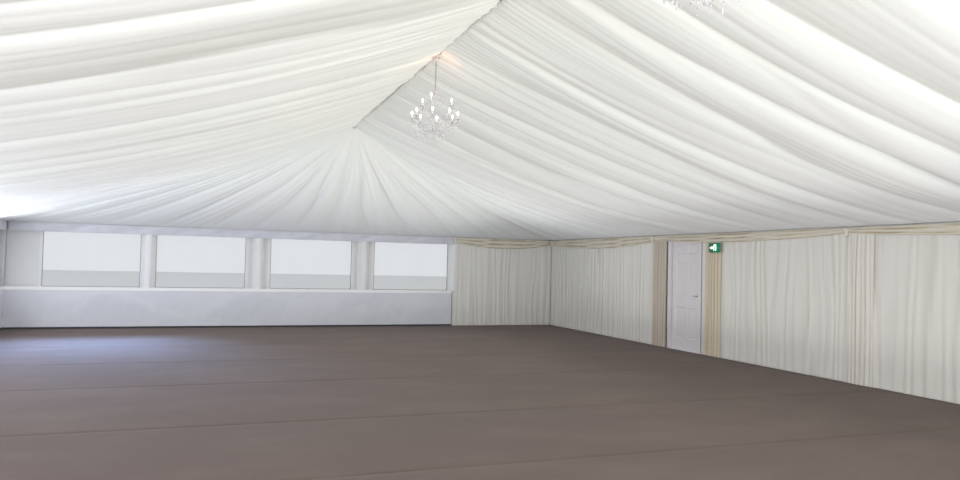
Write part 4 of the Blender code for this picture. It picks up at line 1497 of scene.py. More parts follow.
@dataclass
class WindowWalls:
    """Coated walls with clear windows, their welded rims, sill bands and foot strips."""

    height: float = 2.288
    sill: float = 0.85
    head: float = 2.0
    half: float = 0.9
    side_middles: tuple[float, ...] = tuple(
        middle + offset for middle in (-6.9, -2.3, 2.3, 6.9) for offset in (-1.035, 1.035)
    )
    end_middles: tuple[float, ...] = (-4.37, -2.3, 0.0, 2.3, 4.37)
    mesh_size: float = 0.055
    rim: float = 0.050
    posts: tuple[float, ...] = (-3.335, -1.15, 1.15, 3.335)
    dado_ends: tuple[float, float] = (0.052, 0.858)
    dado_inside: float = -0.1300
    dado_length: float = 0.81
    sleeve_ends: tuple[float, float] = (0.850, 1.952)
    sleeve_length: float = 1.10

    def fabric(
        self, name: str, node: str, wall: Wall, low: float, high: float, middles: Sequence[float],
        seed: int,
    ) -> Piece:
        """One wall's coated fabric with its window openings.

        Args:
            name: the piece's name.
            node: the CAD node that it stands for.
            wall: the wall that it is on.
            low: where it starts, measured along the wall.
            high: where it ends, measured along the wall.
            middles: where its windows' middles are, measured along the wall.
            seed: sets its small unevenness.

        Returns:
            The piece.
        """
        across = [np.linspace(low, high, max(3, round((high - low) / self.mesh_size)))]
        up = [np.linspace(0.0, self.height, round(self.height / self.mesh_size))]
        for middle in middles:
            across.append(np.array([middle - self.half, middle + self.half]))
            up.append(np.array([self.sill, self.head]))
        across, up = (np.unique(np.concatenate(parts).round(4)) for parts in (across, up))
        u, z = np.meshgrid(across, up)
        slack = (1 - z / self.height) ** 2
        wave = wander(u * 0.55 + 0.10 * z, seed) + 0.45 * wander(u * 1.9 - 0.22 * z, seed + 1)
        ripple = wander(u * 2.6 + 0.3 * np.sin(z * 2.0), seed + 2) * slack
        out = 0.0055 + 0.0030 * wave * 0.7 + 0.0045 * ripple
        points = wall.points(u, out.clip(0.0012, 0.0125), z)
        mid_u, mid_z = (across[:-1] + across[1:]) / 2, (up[:-1] + up[1:]) / 2
        holes = np.zeros((len(up) - 1, len(across) - 1), dtype=bool)
        for middle in middles:
            holes |= (np.abs(mid_u[None] - middle) < self.half) & (
                (mid_z[:, None] > self.sill) & (mid_z[:, None] < self.head))
        cut = np.stack([u, z], axis=-1)
        piece = sheet_mesh(name, points, Look.WALL, cut, holes=holes)
        return hang(piece, "wall_pvc", node, self.height, "hung", end_rail(node), width=high - low)

    def panes(
        self, name: str, node: str, wall: Wall, middles: Sequence[float], seed: int
    ) -> Piece:
        """Clear film welded behind each rim, as one piece.

        Args:
            name: the piece's name.
            node: the CAD node that it stands for.
            wall: the wall that it is on.
            middles: where its windows' middles are, measured along the wall.
            seed: sets its small unevenness.

        Returns:
            The piece.
        """
        made = []
        for number, middle in enumerate(middles):
            u, z = np.meshgrid(np.linspace(middle - self.half - 0.02, middle + self.half + 0.02, 34),
                               np.linspace(self.sill - 0.02, self.head + 0.02, 22))
            wave = wander(u * 0.8 + z * 0.35, seed + number)
            wave = wave + 0.5 * wander(z * 1.3, seed + 30 + number)
            out = 0.0145 + 0.0012 * wave
            cut = np.stack([u, z], axis=-1)
            made.append(sheet_mesh(f"{name}_{number}", wall.points(u, out, z), Look.FILM, cut))
        piece = merge_meshes(name, made)
        tall, wall_node = self.head - self.sill + 0.04, node.replace("window_film", "wall")
        return hang(piece, "window_film", node, tall, "stretched", wall_node)

    def outline(self, middle: float, grow: float, radius: float) -> np.ndarray:
        """Rounded window outline, as (u, z) points round it.

        Args:
            middle: the window's middle, measured along the wall.
            grow: how far it lies outside the opening.
            radius: radius of its corners.

        Returns:
            The points.
        """
        corners = []
        half, low, high = self.half + grow, self.sill - grow, self.head + grow
        for su, sz, start in ((1, -1, -90), (1, 1, 0), (-1, 1, 90), (-1, -1, 180)):
            cu = middle + su * (half - radius)
            cz = (high - radius) if sz > 0 else (low + radius)
            for a in np.radians(np.linspace(start, start + 90, 7)):
                corners.append((cu + radius * math.cos(a), cz + radius * math.sin(a)))
        return np.array(corners)

    def ring(
        self, name: str, wall: Wall, middles: Sequence[float], look: Look, slot: str,
        section: Sequence[tuple[float, float]],
    ) -> Piece:
        """Rim round each window of a wall, from a closed section of (growth, out) points.

        Args:
            name: the piece's name.
            wall: the wall that it is on.
            middles: where its windows' middles are, measured along the wall.
            look: its finish.
            slot: the record's material slot.
            section: the section's corners, in order.

        Returns:
            The piece.
        """
        made = []
        for number, middle in enumerate(middles):
            rows = []
            for grow, out in section:
                outline = self.outline(middle, grow, 0.022 + max(grow, 0.0) * 0.5)
                rows.append(wall.points(outline[:, 0], np.full(len(outline), out), outline[:, 1]))
            rows.append(rows[0])
            part = closed(sheet_mesh(f"{name}_{number}", np.array(rows), look, wrap=True))
            part.data.shade_flat()
            made.append(part)
        return settle(merge_meshes(name, made), "tent", slot)

    def strip(
        self, name: str, wall: Wall, low: float, high: float, z0: float, z1: float,
        outs: tuple[float, float], look: Look,
    ) -> Piece:
        """Long band along a wall, rounded on its edges and slightly uneven.

        Args:
            name: the piece's name.
            wall: the wall that it is on.
            low: where it starts, measured along the wall.
            high: where it ends, measured along the wall.
            z0: its lower edge.
            z1: its upper edge.
            outs: how far out its bevelled and its plain side lie.
            look: its finish.

        Returns:
            The piece.
        """
        u = np.linspace(low, high, max(8, round((high - low) / 0.12)))
        near, far = outs
        edge = min(0.004, (z1 - z0) / 4)
        section = ((near, z0 + edge), (far, z0), (far, z1), (near, z1 - edge))
        sway = 0.0012 * wander(u * 0.8, int(z1 * 1000))
        rows = [wall.points(u, np.full(len(u), out) + sway * (out == near), z + sway)
                for out, z in section]
        points = np.array(rows + [rows[0]]).transpose(1, 0, 2)
        part = closed(sheet_mesh(name, points, look))
        part.data.shade_flat()
        return settle(part, "tent", "wall_pvc")

    def rim_section(self, low: float, high: float) -> Sequence[tuple[float, float]]:
        """Section of a rim that stands from low to high on the fabric."""
        return (-0.012, low), (self.rim, low), (self.rim - 0.003, high), (-0.010, high)

    def inner_reach(self, wall: Wall) -> tuple[float, float]:
        """Ends of the inner face of a window wall, as measures along it.

        Args:
            wall: the wall.

        Returns:
            The two ends.
        """
        if wall is Wall.BACK:
            return -3.27, PLAN.inner_x - 0.012
        half = PLAN.inner_x if wall is Wall.FRONT else PLAN.inner_y
        return -half + 0.012, half - 0.012

    def dado(self, word: str, wall: Wall, seed: int) -> Piece:
        """Cloth under the windows, hung inside the legs and a little creased.

        Args:
            word: the wall, in words.
            wall: the wall that it is on.
            seed: sets its small unevenness.

        Returns:
            The piece.
        """
        low, high = self.inner_reach(wall)
        u, z = np.meshgrid(np.linspace(low, high, round((high - low) / 0.05)),
                           np.linspace(*self.dado_ends, 22))
        pull = wander(u * 0.31 + 0.5 * z * z, seed)
        pull = pull + 0.7 * wander(u * 0.53 - z * 0.6 + 0.3 * np.sin(u), seed + 1)
        fine = wander(u * 3.1 + z * 1.1, seed + 2) * (1 - z)
        share = np.sin(math.pi * ((z - self.dado_ends[0]) / 0.806)).clip(0) ** 0.5
        lines = np.abs(np.sin(math.pi * (u * 0.47 + z * 0.8 + 0.25 * pull))) ** 14
        lines += np.abs(np.sin(math.pi * (u * 0.31 - z * 1.1 - 0.25 * pull))) ** 18
        crease = 0.0022 + 0.0010 * pull + 0.0010 * fine + 0.0022 * lines
        out = self.dado_inside - crease * (0.2 + 0.8 * share)
        cut = np.stack([u, z], axis=-1)
        # Painted shade over the dado's middle, less where it stands out and along its crease lines,
        # and none at its top and bottom.
        fold = (0.30 - 0.12 * pull - 0.12 * fine - 0.25 * lines).clip(0, 1) * share
        points = wall.points(u, out, z)
        piece = sheet_mesh(f"{word}_dado", points, Look.DADO, cut, fold, flip=True)
        carrier = "frame_2_left_leg" if wall is Wall.LEFT else f"{word}_end_frame"
        return hang(piece, "wall_pvc", "", self.dado_length, "hung", carrier)

    def sleeve(
        self, name: str, node: str, at: Point, inward: tuple[float, float], seed: int
    ) -> Piece:
        """White sleeve laced round a leg or post, open towards the wall.

        Args:
            name: the piece's name.
            node: the node that carries it.
            at: the leg's place.
            inward: level direction into the tent.
            seed: sets its small unevenness.

        Returns:
            The piece.
        """
        wide, half, deep = 0.128, 0.060, 0.129
        bend = [(-wide, 0.004), (-wide + 0.02, 0.022), (-half, deep - 0.018), (-half + 0.018, deep),
                (half - 0.018, deep), (half, deep - 0.018), (wide - 0.02, 0.022), (wide, 0.004)]
        z = np.linspace(*self.sleeve_ends, 22)
        n = np.array((*inward, 0.0))
        side = np.array((-inward[1], inward[0], 0.0))
        rows = []
        for height in z:
            w = 1 + 0.05 * wander(np.array([height * 1.7 + k * 0.4 for k in range(len(bend))]), seed)
            rows.append([np.array((at[0], at[1], height)) + side * a * w[k] + n * b
                         for k, (a, b) in enumerate(bend)])
        points = np.array(rows)
        reach = np.array([0.0, 0.025, 0.135, 0.16, 0.245, 0.27, 0.38, 0.405])
        cut = np.stack(np.broadcast_arrays(reach[None], z[:, None]), axis=-1)
        piece = sheet_mesh(name, points, Look.TRIM, cut)
        return hang(piece, "wall_pvc", "", self.sleeve_length, "hung", node)

    def build(self) -> Pieces:
        """All four walls.

        Returns:
            The pieces.
        """
        long_edge, end_edge = PLAN.half_length + 0.008, PLAN.half_span - 0.0005
        walls = (
            ("left", Wall.LEFT, [-middle for middle in self.side_middles], long_edge),
            ("front", Wall.FRONT, list(self.end_middles), end_edge),
            ("back", Wall.BACK, [-middle for middle in self.end_middles[:-1]], end_edge),
        )
        edges = ((-0.019, 0.0125), (-0.011, 0.0125), (-0.011, -0.0045), (-0.019, -0.0045))
        rims = (
            ("window_rims", Look.TRIM, "wall_pvc", self.rim_section(0.0130, 0.0185)),
            ("inner_rims", Look.TRIM, "wall_pvc", self.rim_section(0.0008, -0.0035)),
            ("window_edges", Look.GASKET, "window_film", edges),
        )
        hem = (0.002, 0.095, (0.0165, 0.0125), Look.TRIM)
        pieces = []
        for seed, (word, wall, middles, edge) in enumerate(walls):
            node = f"{word}_wall"
            pieces.append(self.fabric(f"{node}_fabric", node, wall, -edge, edge, middles,
                                      60 + 5 * seed))
            pieces.append(self.panes(f"{word}_window_panes", f"{word}_window_film", wall, middles,
                                     80 + 5 * seed))
            for part, look, slot, section in rims:
                pieces.append(self.ring(f"{word}_{part}", wall, middles, look, slot, section))
            pieces.append(self.dado(word, wall, 120 + seed))
        for word, wall, _, edge in walls:
            inner = self.inner_reach(wall)
            for part, ends, *strip in (
                # A near-black strip, painted as the shadow gap between the dado's hem and the floor.
                ("foot_strip", inner, 0.032, 0.070, (-0.1325, -0.1265), Look.SHADOW_STRIP),
                # The sill band takes a brighter copy of the trim, painted as lit.
                ("sill_band", inner, 0.792, 0.862, (-0.1400, -0.1290), Look.SILL),
                ("hem_band", (-edge, edge), *hem),
            ):
                pieces.append(self.strip(f"{word}_{part}", wall, *ends, *strip))
        for part, low, high in (("front", -long_edge, PLAN.door_front),
                                ("back", PLAN.door_back, long_edge)):
            name = f"right_wall_fabric_{part}"
            pieces.append(self.fabric(name, f"right_wall_{part}", Wall.RIGHT, low, high, (),
                                      90 + len(name)))
            pieces.append(self.strip(f"right_wall_hem_{part}", Wall.RIGHT, low, high, *hem))
        for end, word in ENDS:
            for number, x in enumerate(self.posts, start=1):
                at = (x, end * (PLAN.half_length - 0.004), 0.0)
                pieces.append(self.sleeve(f"{word}_post_sleeve_{number}", f"{word}_end_frame", at,
                                          (0.0, -float(end)), number))
        for number, y in enumerate(PLAN.frames, start=1):
            at = (-PLAN.half_span + 0.004, y, 0.0)
            pieces.append(self.sleeve(f"left_leg_sleeve_{number}", f"frame_{number}_left_leg", at,
                                      (1.0, 0.0), 10 + number))
        return pieces


@dataclass
class Covers:
    """Tensioned roof: four sheets that dip between the frames and turn down into a valance."""

    sag: float = 0.016
    overhang: float = 0.028
    turn: float = 0.024
    valance: float = 0.152
    top_gap: float = 0.0085
    strap_shares: tuple[float, ...] = (-1.0, -0.93, -0.6, 0.0, 0.6, 0.93, 1.0)

    def recipe(self) -> Recipe:
        """Tree for one tensioned sheet, from the ridge at t = 0 to the valance's hem at t = 1.

        Returns:
            The tree.
        """
        recipe = Recipe("tensioned_cover", {
            "Columns": 220, "Rows": 60,
            **dict.fromkeys(CORNERS, ORIGIN),
            "Outward": (1.0, 0.0, 0.0), "Bays": 4.0, "Sag": self.sag, "Turn": self.turn,
            "Valance": self.valance, "Slope share": 0.72, "Run": 18.4, "Length": 6.4, "Seed": 1.0,
        })
        g, take = recipe.graph, recipe.take
        grid, v, t = recipe.grid()
        share = take("Slope share")
        slope = (t / share).least(1.0)
        bend = ((t - share) / 0.10).most(0.0).least(1.0)
        hang_share = ((t - share - 0.10) / (0.90 - share)).most(0.0).least(1.0)
        seed = take("Seed") * 3.77
        bay = abs((v * take("Bays") * math.pi).sin()) ** 0.8
        ripple = recipe.noise(v * take("Run") * 0.9 + seed, slope * 1.4, 0.0) - 0.5
        crease = abs((v * take("Run") * 2.1 + 3.0 * ripple).sin()) ** 3 * slope ** 6 * 0.0022
        dip = take("Sag") * bay * (slope * (1 - slope) * 4 + 0.12 * slope)
        dip = dip + 0.004 * ripple * slope + crease
        ridge = g.between(v, take("Ridge start"), take("Ridge end"))
        eave = g.between(v, take("Eave start"), take("Eave end"))
        place = g.vector("SUBTRACT", g.between(slope, ridge, eave), g.joined(0.0, 0.0, dip))
        sway = (recipe.noise(v * take("Run") * 1.3 + seed, 0.0, 8.0) - 0.5) * hang_share
        out = (bend * math.pi / 2).sin() * take("Turn") + 0.005 * sway
        down = (1 - ((1 - bend) * math.pi / 2).sin()) * take("Turn") + hang_share * take("Valance")
        place = g.vector("ADD", place, g.scaled(take("Outward"), out))
        place = g.vector("SUBTRACT", place, g.joined(0.0, 0.0, down))
        cut = g.joined(v * take("Run"), t * take("Length"), 0.0)
        return recipe.shape(grid, place, UVMap=cut)

    def sheet(
        self, recipe: Recipe, word: str, node: str, ridge: tuple[Point, Point],
        eave: tuple[Point, Point], outward: Point, bays: float, seed: float,
    ) -> Piece:
        """One sheet of the roof.

        Args:
            recipe: the tree.
            word: which side it is.
            node: the CAD node that it stands for.
            ridge: its upper corners.
            eave: its lower corners.
            outward: level direction away from the tent.
            bays: how many stretches dip.
            seed: turns the small unevenness.

        Returns:
            The piece.
        """
        run = (Vector(eave[1]) - Vector(eave[0])).length
        piece = recipe.bake(f"{word}_roof_sheet", Look.ROOF, {
            **dict(zip(CORNERS, ridge + eave)),
            "Outward": outward, "Bays": bays, "Run": run, "Seed": seed,
            "Columns": max(160, int(run * 14)),
        })
        length = 5.1 if "hip" in node else 6.5
        return hang(piece, "roof_pvc", node, length, "stretched", end_rail(word), "ridge_beam")

    def strap(self, name: str, points: Sequence[Point], half: float, rise: float) -> Piece:
        """Welded band over a seam of the roof, low and rounded across.

        Args:
            name: the piece's name.
            points: its middle line.
            half: half its width.
            rise: how far its middle stands up.

        Returns:
            The piece.
        """
        path = [Vector(p) for p in points]
        rows = []
        for i, p in enumerate(path):
            ahead = (path[min(i + 1, len(path) - 1)] - path[max(i - 1, 0)]).normalized()
            side = ahead.cross(UP).normalized()
            up = side.cross(ahead).normalized()
            sway = 0.0025 * float(wander(np.array([i * 0.13]), len(name))[0])
            arch = [(c, rise * (1 - c * c) ** 0.5 - 0.0015) for c in self.strap_shares]
            rows.append([tuple(p + side * (half * c + sway) + up * height) for c, height in arch])
        lengths = np.concatenate([[0.0], np.cumsum([(b - a).length for a, b in zip(path, path[1:])])])
        across = np.linspace(0, 2 * half, 7)[None]
        cut = np.stack(np.broadcast_arrays(across, lengths[:, None]), axis=-1)
        piece = sheet_mesh(name, np.array(rows), Look.TRIM, cut)
        return hang(piece, "roof_pvc", "", float(lengths[-1]), "laid", "ridge_beam")

    def straps(self) -> Pieces:
        """Bands over the ridge, the hips and the three frames.

        Returns:
            The pieces.
        """
        top = PLAN.cover_ridge + self.top_gap + 0.003
        made = []
        crest = [(0.0, y, top) for y in np.linspace(-PLAN.crown, PLAN.crown, 40)]
        made.append(self.strap("ridge_band", crest, 0.075, 0.010))
        low = top - PLAN.roof_slope * (PLAN.half_span + self.overhang)
        for end, end_word in ENDS:
            for side, word in SIDES:
                start = Vector((0.0, end * PLAN.crown, top))
                corner = Vector((side * 6.022, end * 9.217, low + 0.001))
                line = [tuple(start.lerp(corner, s)) for s in np.linspace(0.0, 1.0, 40)]
                made.append(self.strap(f"{end_word}_{word}_hip_band", line, 0.065, 0.011))
        for number, y in enumerate(PLAN.frames, start=1):
            for side, word in SIDES:
                line = [(side * x, y, top - PLAN.roof_slope * x - 0.001)
                        for x in np.linspace(0.03, 6.02, 40)]
                made.append(self.strap(f"{word}_frame_band_{number}", line, 0.060, 0.007))
        return made

    def build(self) -> Pieces:
        """Four sheets and their bands.

        Returns:
            The pieces.
        """
        recipe = self.recipe()
        top = PLAN.cover_ridge + self.top_gap
        low = top - PLAN.roof_slope * (PLAN.half_span + self.overhang - self.turn)
        x0, y0 = PLAN.half_span + self.overhang - self.turn, 9.2213 - self.turn
        made = []
        for side, word in SIDES:
            ends = (-side * 1.0, side * 1.0)
            ridge = tuple((side * 0.0004, s * PLAN.crown, top) for s in ends)
            eave = tuple((side * x0, s * (y0 - 0.001), low) for s in ends)
            made.append(self.sheet(recipe, word, f"{word}_roof_cover", ridge, eave,
                                   (float(side), 0.0, 0.0), 4.0, 2.0 + side))
        for end, word in ENDS:
            ends = (end * 1.0, -end * 1.0)
            ridge = tuple((s * 0.0004, end * (PLAN.crown + 0.0006), top) for s in ends)
            eave = tuple((s * (x0 - 0.001), end * y0, low) for s in ends)
            made.append(self.sheet(recipe, word, f"{word}_hip_cover", ridge, eave,
                                   (0.0, float(end), 0.0), 3.0, 7.0 + end))
        return made + self.straps()


@dataclass
class FrameMetal:
    """Aluminium of the frame, with bolts at the foot plates."""

    plate: float = 0.012

    def build(self) -> Pieces:
        """Finish the CAD members and add the bolts.

        Returns:
            The pieces.
        """
        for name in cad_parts:
            if any(word in name for word in ("_leg", "_rafter", "_rail", "_beam", "_end_frame")):
                if "drape" not in name:
                    dress(name, Look.ALUMINIUM)
        recipe = Recipe("bolts", {"Radius": 0.011, "Rise": 0.008, "Sides": 6})
        g, take = recipe.graph, recipe.take
        head = g.add("GeometryNodeMeshCylinder", inputs={
            "Vertices": take("Sides"), "Radius": take("Radius"), "Depth": take("Rise")})
        washer = g.add("GeometryNodeMeshCylinder", inputs={
            "Vertices": 14, "Radius": take("Radius") * 1.7, "Depth": take("Rise") * 0.25})
        washer = recipe.moved(washer, Translation=g.joined(0.0, 0.0, take("Rise") * -0.4))
        recipe.scatter(recipe.spots(), recipe.together(head, washer), 1.3)
        x = PLAN.half_span - 0.06
        spots = lines_mesh("bolt_spots", [
            (side * (x + dx), y + dy, self.plate + 0.0042) for side in (-1, 1) for y in PLAN.frames
            for dx in (-0.036, 0.036) for dy in (-0.1, 0.1)])
        return [settle(recipe.bake("foot_bolts", Look.STEEL, {}, spots), "tent", "frame_aluminium")]


@dataclass
class Floor:
    """Carpet in strips over boards."""

    seams: tuple[float, ...] = (3.68, 1.63, -0.64, -2.48)
    roll: float = 2.05
    thick: float = 0.006

    def strip(self, number: int, low: float, high: float) -> Piece:
        """One roll of carpet, laid edge to edge with the next.

        Args:
            number: its number, from 1.
            low: its lower Y.
            high: its higher Y.

        Returns:
            The piece.
        """
        half = PLAN.inner_x - 0.002
        xs = np.arange(-half, half + 1e-6, 2 * half / 150)
        ys = np.unique(np.concatenate([
            np.linspace(low, high, 24), [low + 0.004, low + 0.012, high - 0.012, high - 0.004]]))
        x, y = np.meshgrid(xs, ys)
        edge = np.minimum(y - low, high - y)
        drop = 0.0045 * np.exp(-(edge / 0.006) ** 2)
        lift = 0.0015 * wander(x * 0.6 + y * 0.25, 70 + number)
        lift = lift + 0.0006 * wander(x * 2.1 - y, 90 + number)
        z = PLAN.floor - 0.0012 + 0.4 * lift - drop
        shift = 0.004 * wander(x * 0.22, 50 + number) * (edge < 0.013)
        points = np.stack([x, y + shift * 0.5, z], axis=-1)
        cut = np.stack([x, y], axis=-1)
        piece = sheet_mesh(f"carpet_strip_{number}", points, Look.CARPET, cut)
        return hang(piece, "carpet", "carpeted_floor", 2 * half, "laid", "floor_boards")

    def boards(self) -> Piece:
        """Boards under the carpet, side by side with their joints.

        Returns:
            The piece.
        """
        bm = bmesh.new()
        half_x, half_y = PLAN.inner_x - 0.0003, PLAN.inner_y - 0.0003
        count = 16
        for i in range(count):
            low = -half_y + 2 * half_y * i / count + 0.0015
            high = -half_y + 2 * half_y * (i + 1) / count - 0.0015
            made = box_mesh(bm, (-half_x, low, 0.0), (half_x, high, PLAN.floor - self.thick - 0.0005))
            edges = list({e for v in made for e in v.link_edges})
            bmesh.ops.bevel(bm, geom=edges, offset=0.002, segments=1, affect="EDGES")
        piece = link("floor_boards", mesh_from("floor_boards", bm), Look.BOARD)
        return settle(piece, "tent", "carpet", "carpeted_floor")

    def build(self) -> Pieces:
        """Boards and carpet.

        Returns:
            The pieces.
        """
        half = PLAN.inner_y - 0.002
        stops = [half]
        at = self.seams[0] + self.roll
        while at < half - 0.3:
            stops.append(at)
            at += self.roll
        stops = sorted(stops + list(self.seams))
        at = self.seams[-1] - self.roll
        while at > -half + 0.3:
            stops.insert(0, at)
            at -= self.roll
        stops.insert(0, -half)
        made = [self.boards()]
        for number, (low, high) in enumerate(zip(stops, stops[1:]), start=1):
            made.append(self.strip(number, low, high))
        return made


@dataclass
class Door:
    """Painted door: mouldings round its panels, and a turned rose and curved lever each side."""

    low: Point = (5.93, 3.225, 0.035)
    high: Point = (5.97, 4.065, 2.0147)
    stile: float = 0.11
    muntin: float = 0.10
    rails: tuple[float, ...] = (0.20, 0.16, 0.14, 0.075)
    shares: tuple[float, ...] = (0.41, 0.47, 0.12)
    recess: float = 0.008
    bead: float = 0.014
    handle_y: float = 3.28
    handle_z: float = 1.025

    def panels(self) -> list[tuple[float, float, float, float]]:
        """Low and high Y and Z of each panel.

        Returns:
            Low Y, high Y, low Z and high Z of each.
        """
        y0, y1 = self.low[1] + self.stile, self.high[1] - self.stile
        middle = (y0 + y1) / 2
        spans = ((y0, middle - self.muntin / 2), (middle + self.muntin / 2, y1))
        free = self.high[2] - self.low[2] - sum(self.rails)
        found, z = [], self.low[2] + self.rails[0]
        for share, rail in zip(self.shares, self.rails[1:]):
            top = z + free * share
            found += [(a, b, z, top) for a, b in spans]
            z = top + rail
        return found

    def faces(self) -> tuple[tuple[int, float], ...]:
        """Outward sign and X of the leaf's two faces."""
        return (-1, self.low[0]), (1, self.high[0])

    def moulding(self) -> Piece:
        """Bead that slopes into each panel on both faces, and the raised field in it.

        Returns:
            The piece.
        """
        made = []
        for side, x in self.faces():
            for number, (y0, y1, z0, z1) in enumerate(self.panels()):
                bead, recess = self.bead, self.recess
                section = ((0.0, 0.0012), (0.004, 0.0022), (bead * 0.5, -0.0008),
                           (bead, -recess * 0.55), (bead * 1.35, -recess + 0.0006),
                           (bead * 2.6, -recess + 0.0006), (bead * 4.0, -recess * 0.42))
                rows = []
                for inset, rise in section:
                    a, b, c, d = y0 + inset, y1 - inset, z0 + inset, z1 - inset
                    ring = [(a, c), (b, c), (b, d), (a, d)]
                    rows.append([(x + side * rise, u, w) for u, w in ring])
                part = sheet_mesh(f"bead_{side}_{number}", np.array(rows), Look.DOOR, wrap=True,
                                  flip=side < 0)
                bm = bmesh.new()
                bm.from_mesh(part.data)
                bm.verts.ensure_lookup_table()
                last = [bm.verts[i] for i in range((len(rows) - 1) * 4, len(rows) * 4)]
                bm.faces.new(last)
                bmesh.ops.recalc_face_normals(bm, faces=bm.faces)
                if sum(f.normal.x * f.calc_area() for f in bm.faces) * side < 0:
                    bmesh.ops.reverse_faces(bm, faces=bm.faces)
                bmesh.ops.bevel(bm, geom=[e for e in bm.edges if not e.is_boundary], offset=0.0006,
                                segments=1)
                bm.to_mesh(part.data)
                bm.free()
                part.data.shade_flat()
                made.append(part)
        return settle(merge_meshes("door_panel_beads", made), "door", "door_paint")

    def handle(self) -> Piece:
        """Rose, neck and lever on both faces, on one spindle.

        Returns:
            The piece.
        """
        made = []
        for side, x in self.faces():
            profile = [(0.0, 0.050), (0.007, 0.0498), (0.0085, 0.047), (0.0085, 0.014),
                       (0.012, 0.0105), (0.0165, 0.0085), (0.0245, 0.0072), (0.026, 0.0050),
                       (0.026, 0.0), (0.0, 0.0)]
            part = turned_mesh(f"rose_{side}", profile, 32, (0.0, 0.0, 0.0), Look.CHROME)
            turn = Matrix.Rotation(side * math.pi / 2, 4, "Y")
            part.data.transform(Matrix.Translation((x, self.handle_y, self.handle_z)) @ turn)
            made.append(part)
            path = [(0.041, 0.0), (0.0430, 0.018), (0.0435, 0.045), (0.0420, 0.075), (0.0395, 0.100),
                    (0.0360, 0.117)]
            rows = []
            for i, (out, along) in enumerate(path):
                size = 0.0088 - 0.0022 * math.sin(math.pi * i / 5) + (0.001 if i == 5 else 0.0)
                rise = 0.004 * math.sin(math.pi * along / 0.117)
                rows.append([(x + side * (out + 0.62 * size * math.cos(a)), self.handle_y + along,
                              self.handle_z + rise + size * math.sin(a))
                             for a in np.linspace(0, math.tau, 16, endpoint=False)])
            tip = np.array(rows[-1]).mean(axis=0) + np.array((0, 0.003, 0))
            rows.append([tuple(tip + (np.array(p) - tip) * 0.45) for p in rows[-1]])
            made.append(closed(sheet_mesh(f"lever_{side}", np.array(rows), Look.CHROME, wrap=True)))
        piece = closed(merge_meshes("turned_handle_set", made))
        return settle(piece, "door", "handle_chrome", "door_handle_set")

    def build(self) -> Pieces:
        """Paint the CAD leaf and frame, and add the mouldings and handles.

        Returns:
            The pieces.
        """
        dress("door_leaf", Look.DOOR)
        dress("door_frame", Look.DOOR)
        return [self.moulding(), self.handle()]


@dataclass
class ExitSign:
    """Small lit box over the door's side, with an arrow and a doorway and no lettering."""

    low: Point = (5.8011, 2.575, 1.795)
    high: Point = (5.8311, 2.855, 1.955)

    def plate(self, bm: bmesh.types.BMesh, x: float, points: Sequence[tuple[float, float]]) -> None:
        """Raised figure on the face that looks into the tent.

        Args:
            bm: the mesh that is filled.
            x: where its face is.
            points: its outline, from the sign's middle.
        """
        middle_y, middle_z = (self.low[1] + self.high[1]) / 2, (self.low[2] + self.high[2]) / 2
        near = [bm.verts.new((x, middle_y - u, middle_z + v)) for u, v in points]
        far = [bm.verts.new((x + 0.0016, middle_y - u, middle_z + v)) for u, v in points]
        bm.faces.new(near)
        bm.faces.new(far[::-1])
        for i in range(len(points)):
            j = (i + 1) % len(points)
            bm.faces.new((near[i], far[i], far[j], near[j]))

    def build(self) -> Pieces:
        """Box, lit face and figures.

        Returns:
            The pieces.
        """
        bm = bmesh.new()
        made = box_mesh(bm, self.low, self.high)
        edges = list({e for v in made for e in v.link_edges})
        bmesh.ops.bevel(bm, geom=edges, offset=0.006, segments=3, affect="EDGES")
        mesh = mesh_from("sign_box", bm)
        mesh.shade_smooth()
        pieces = [settle(link("sign_box", mesh, Look.GREEN), "tent", "sign_green", "exit_sign")]
        x = self.low[0] - 0.0014
        lit = (
            [(-0.005, -0.052), (-0.005, 0.050), (0.055, 0.050), (0.055, -0.052), (0.043, -0.052),
             (0.043, 0.038), (0.007, 0.038), (0.007, -0.052)],
            [(-0.105, -0.008), (-0.105, 0.008), (-0.060, 0.008), (-0.060, 0.028), (-0.022, 0.0),
             (-0.060, -0.028), (-0.060, -0.008)],
        )
        bm = bmesh.new()
        for figure in lit:
            self.plate(bm, x, figure)
        bmesh.ops.recalc_face_normals(bm, faces=bm.faces)
        figures = link("sign_figures", mesh_from("sign_figures", bm), Look.LIT)
        pieces.append(settle(figures, "tent", "sign_green"))
        return pieces


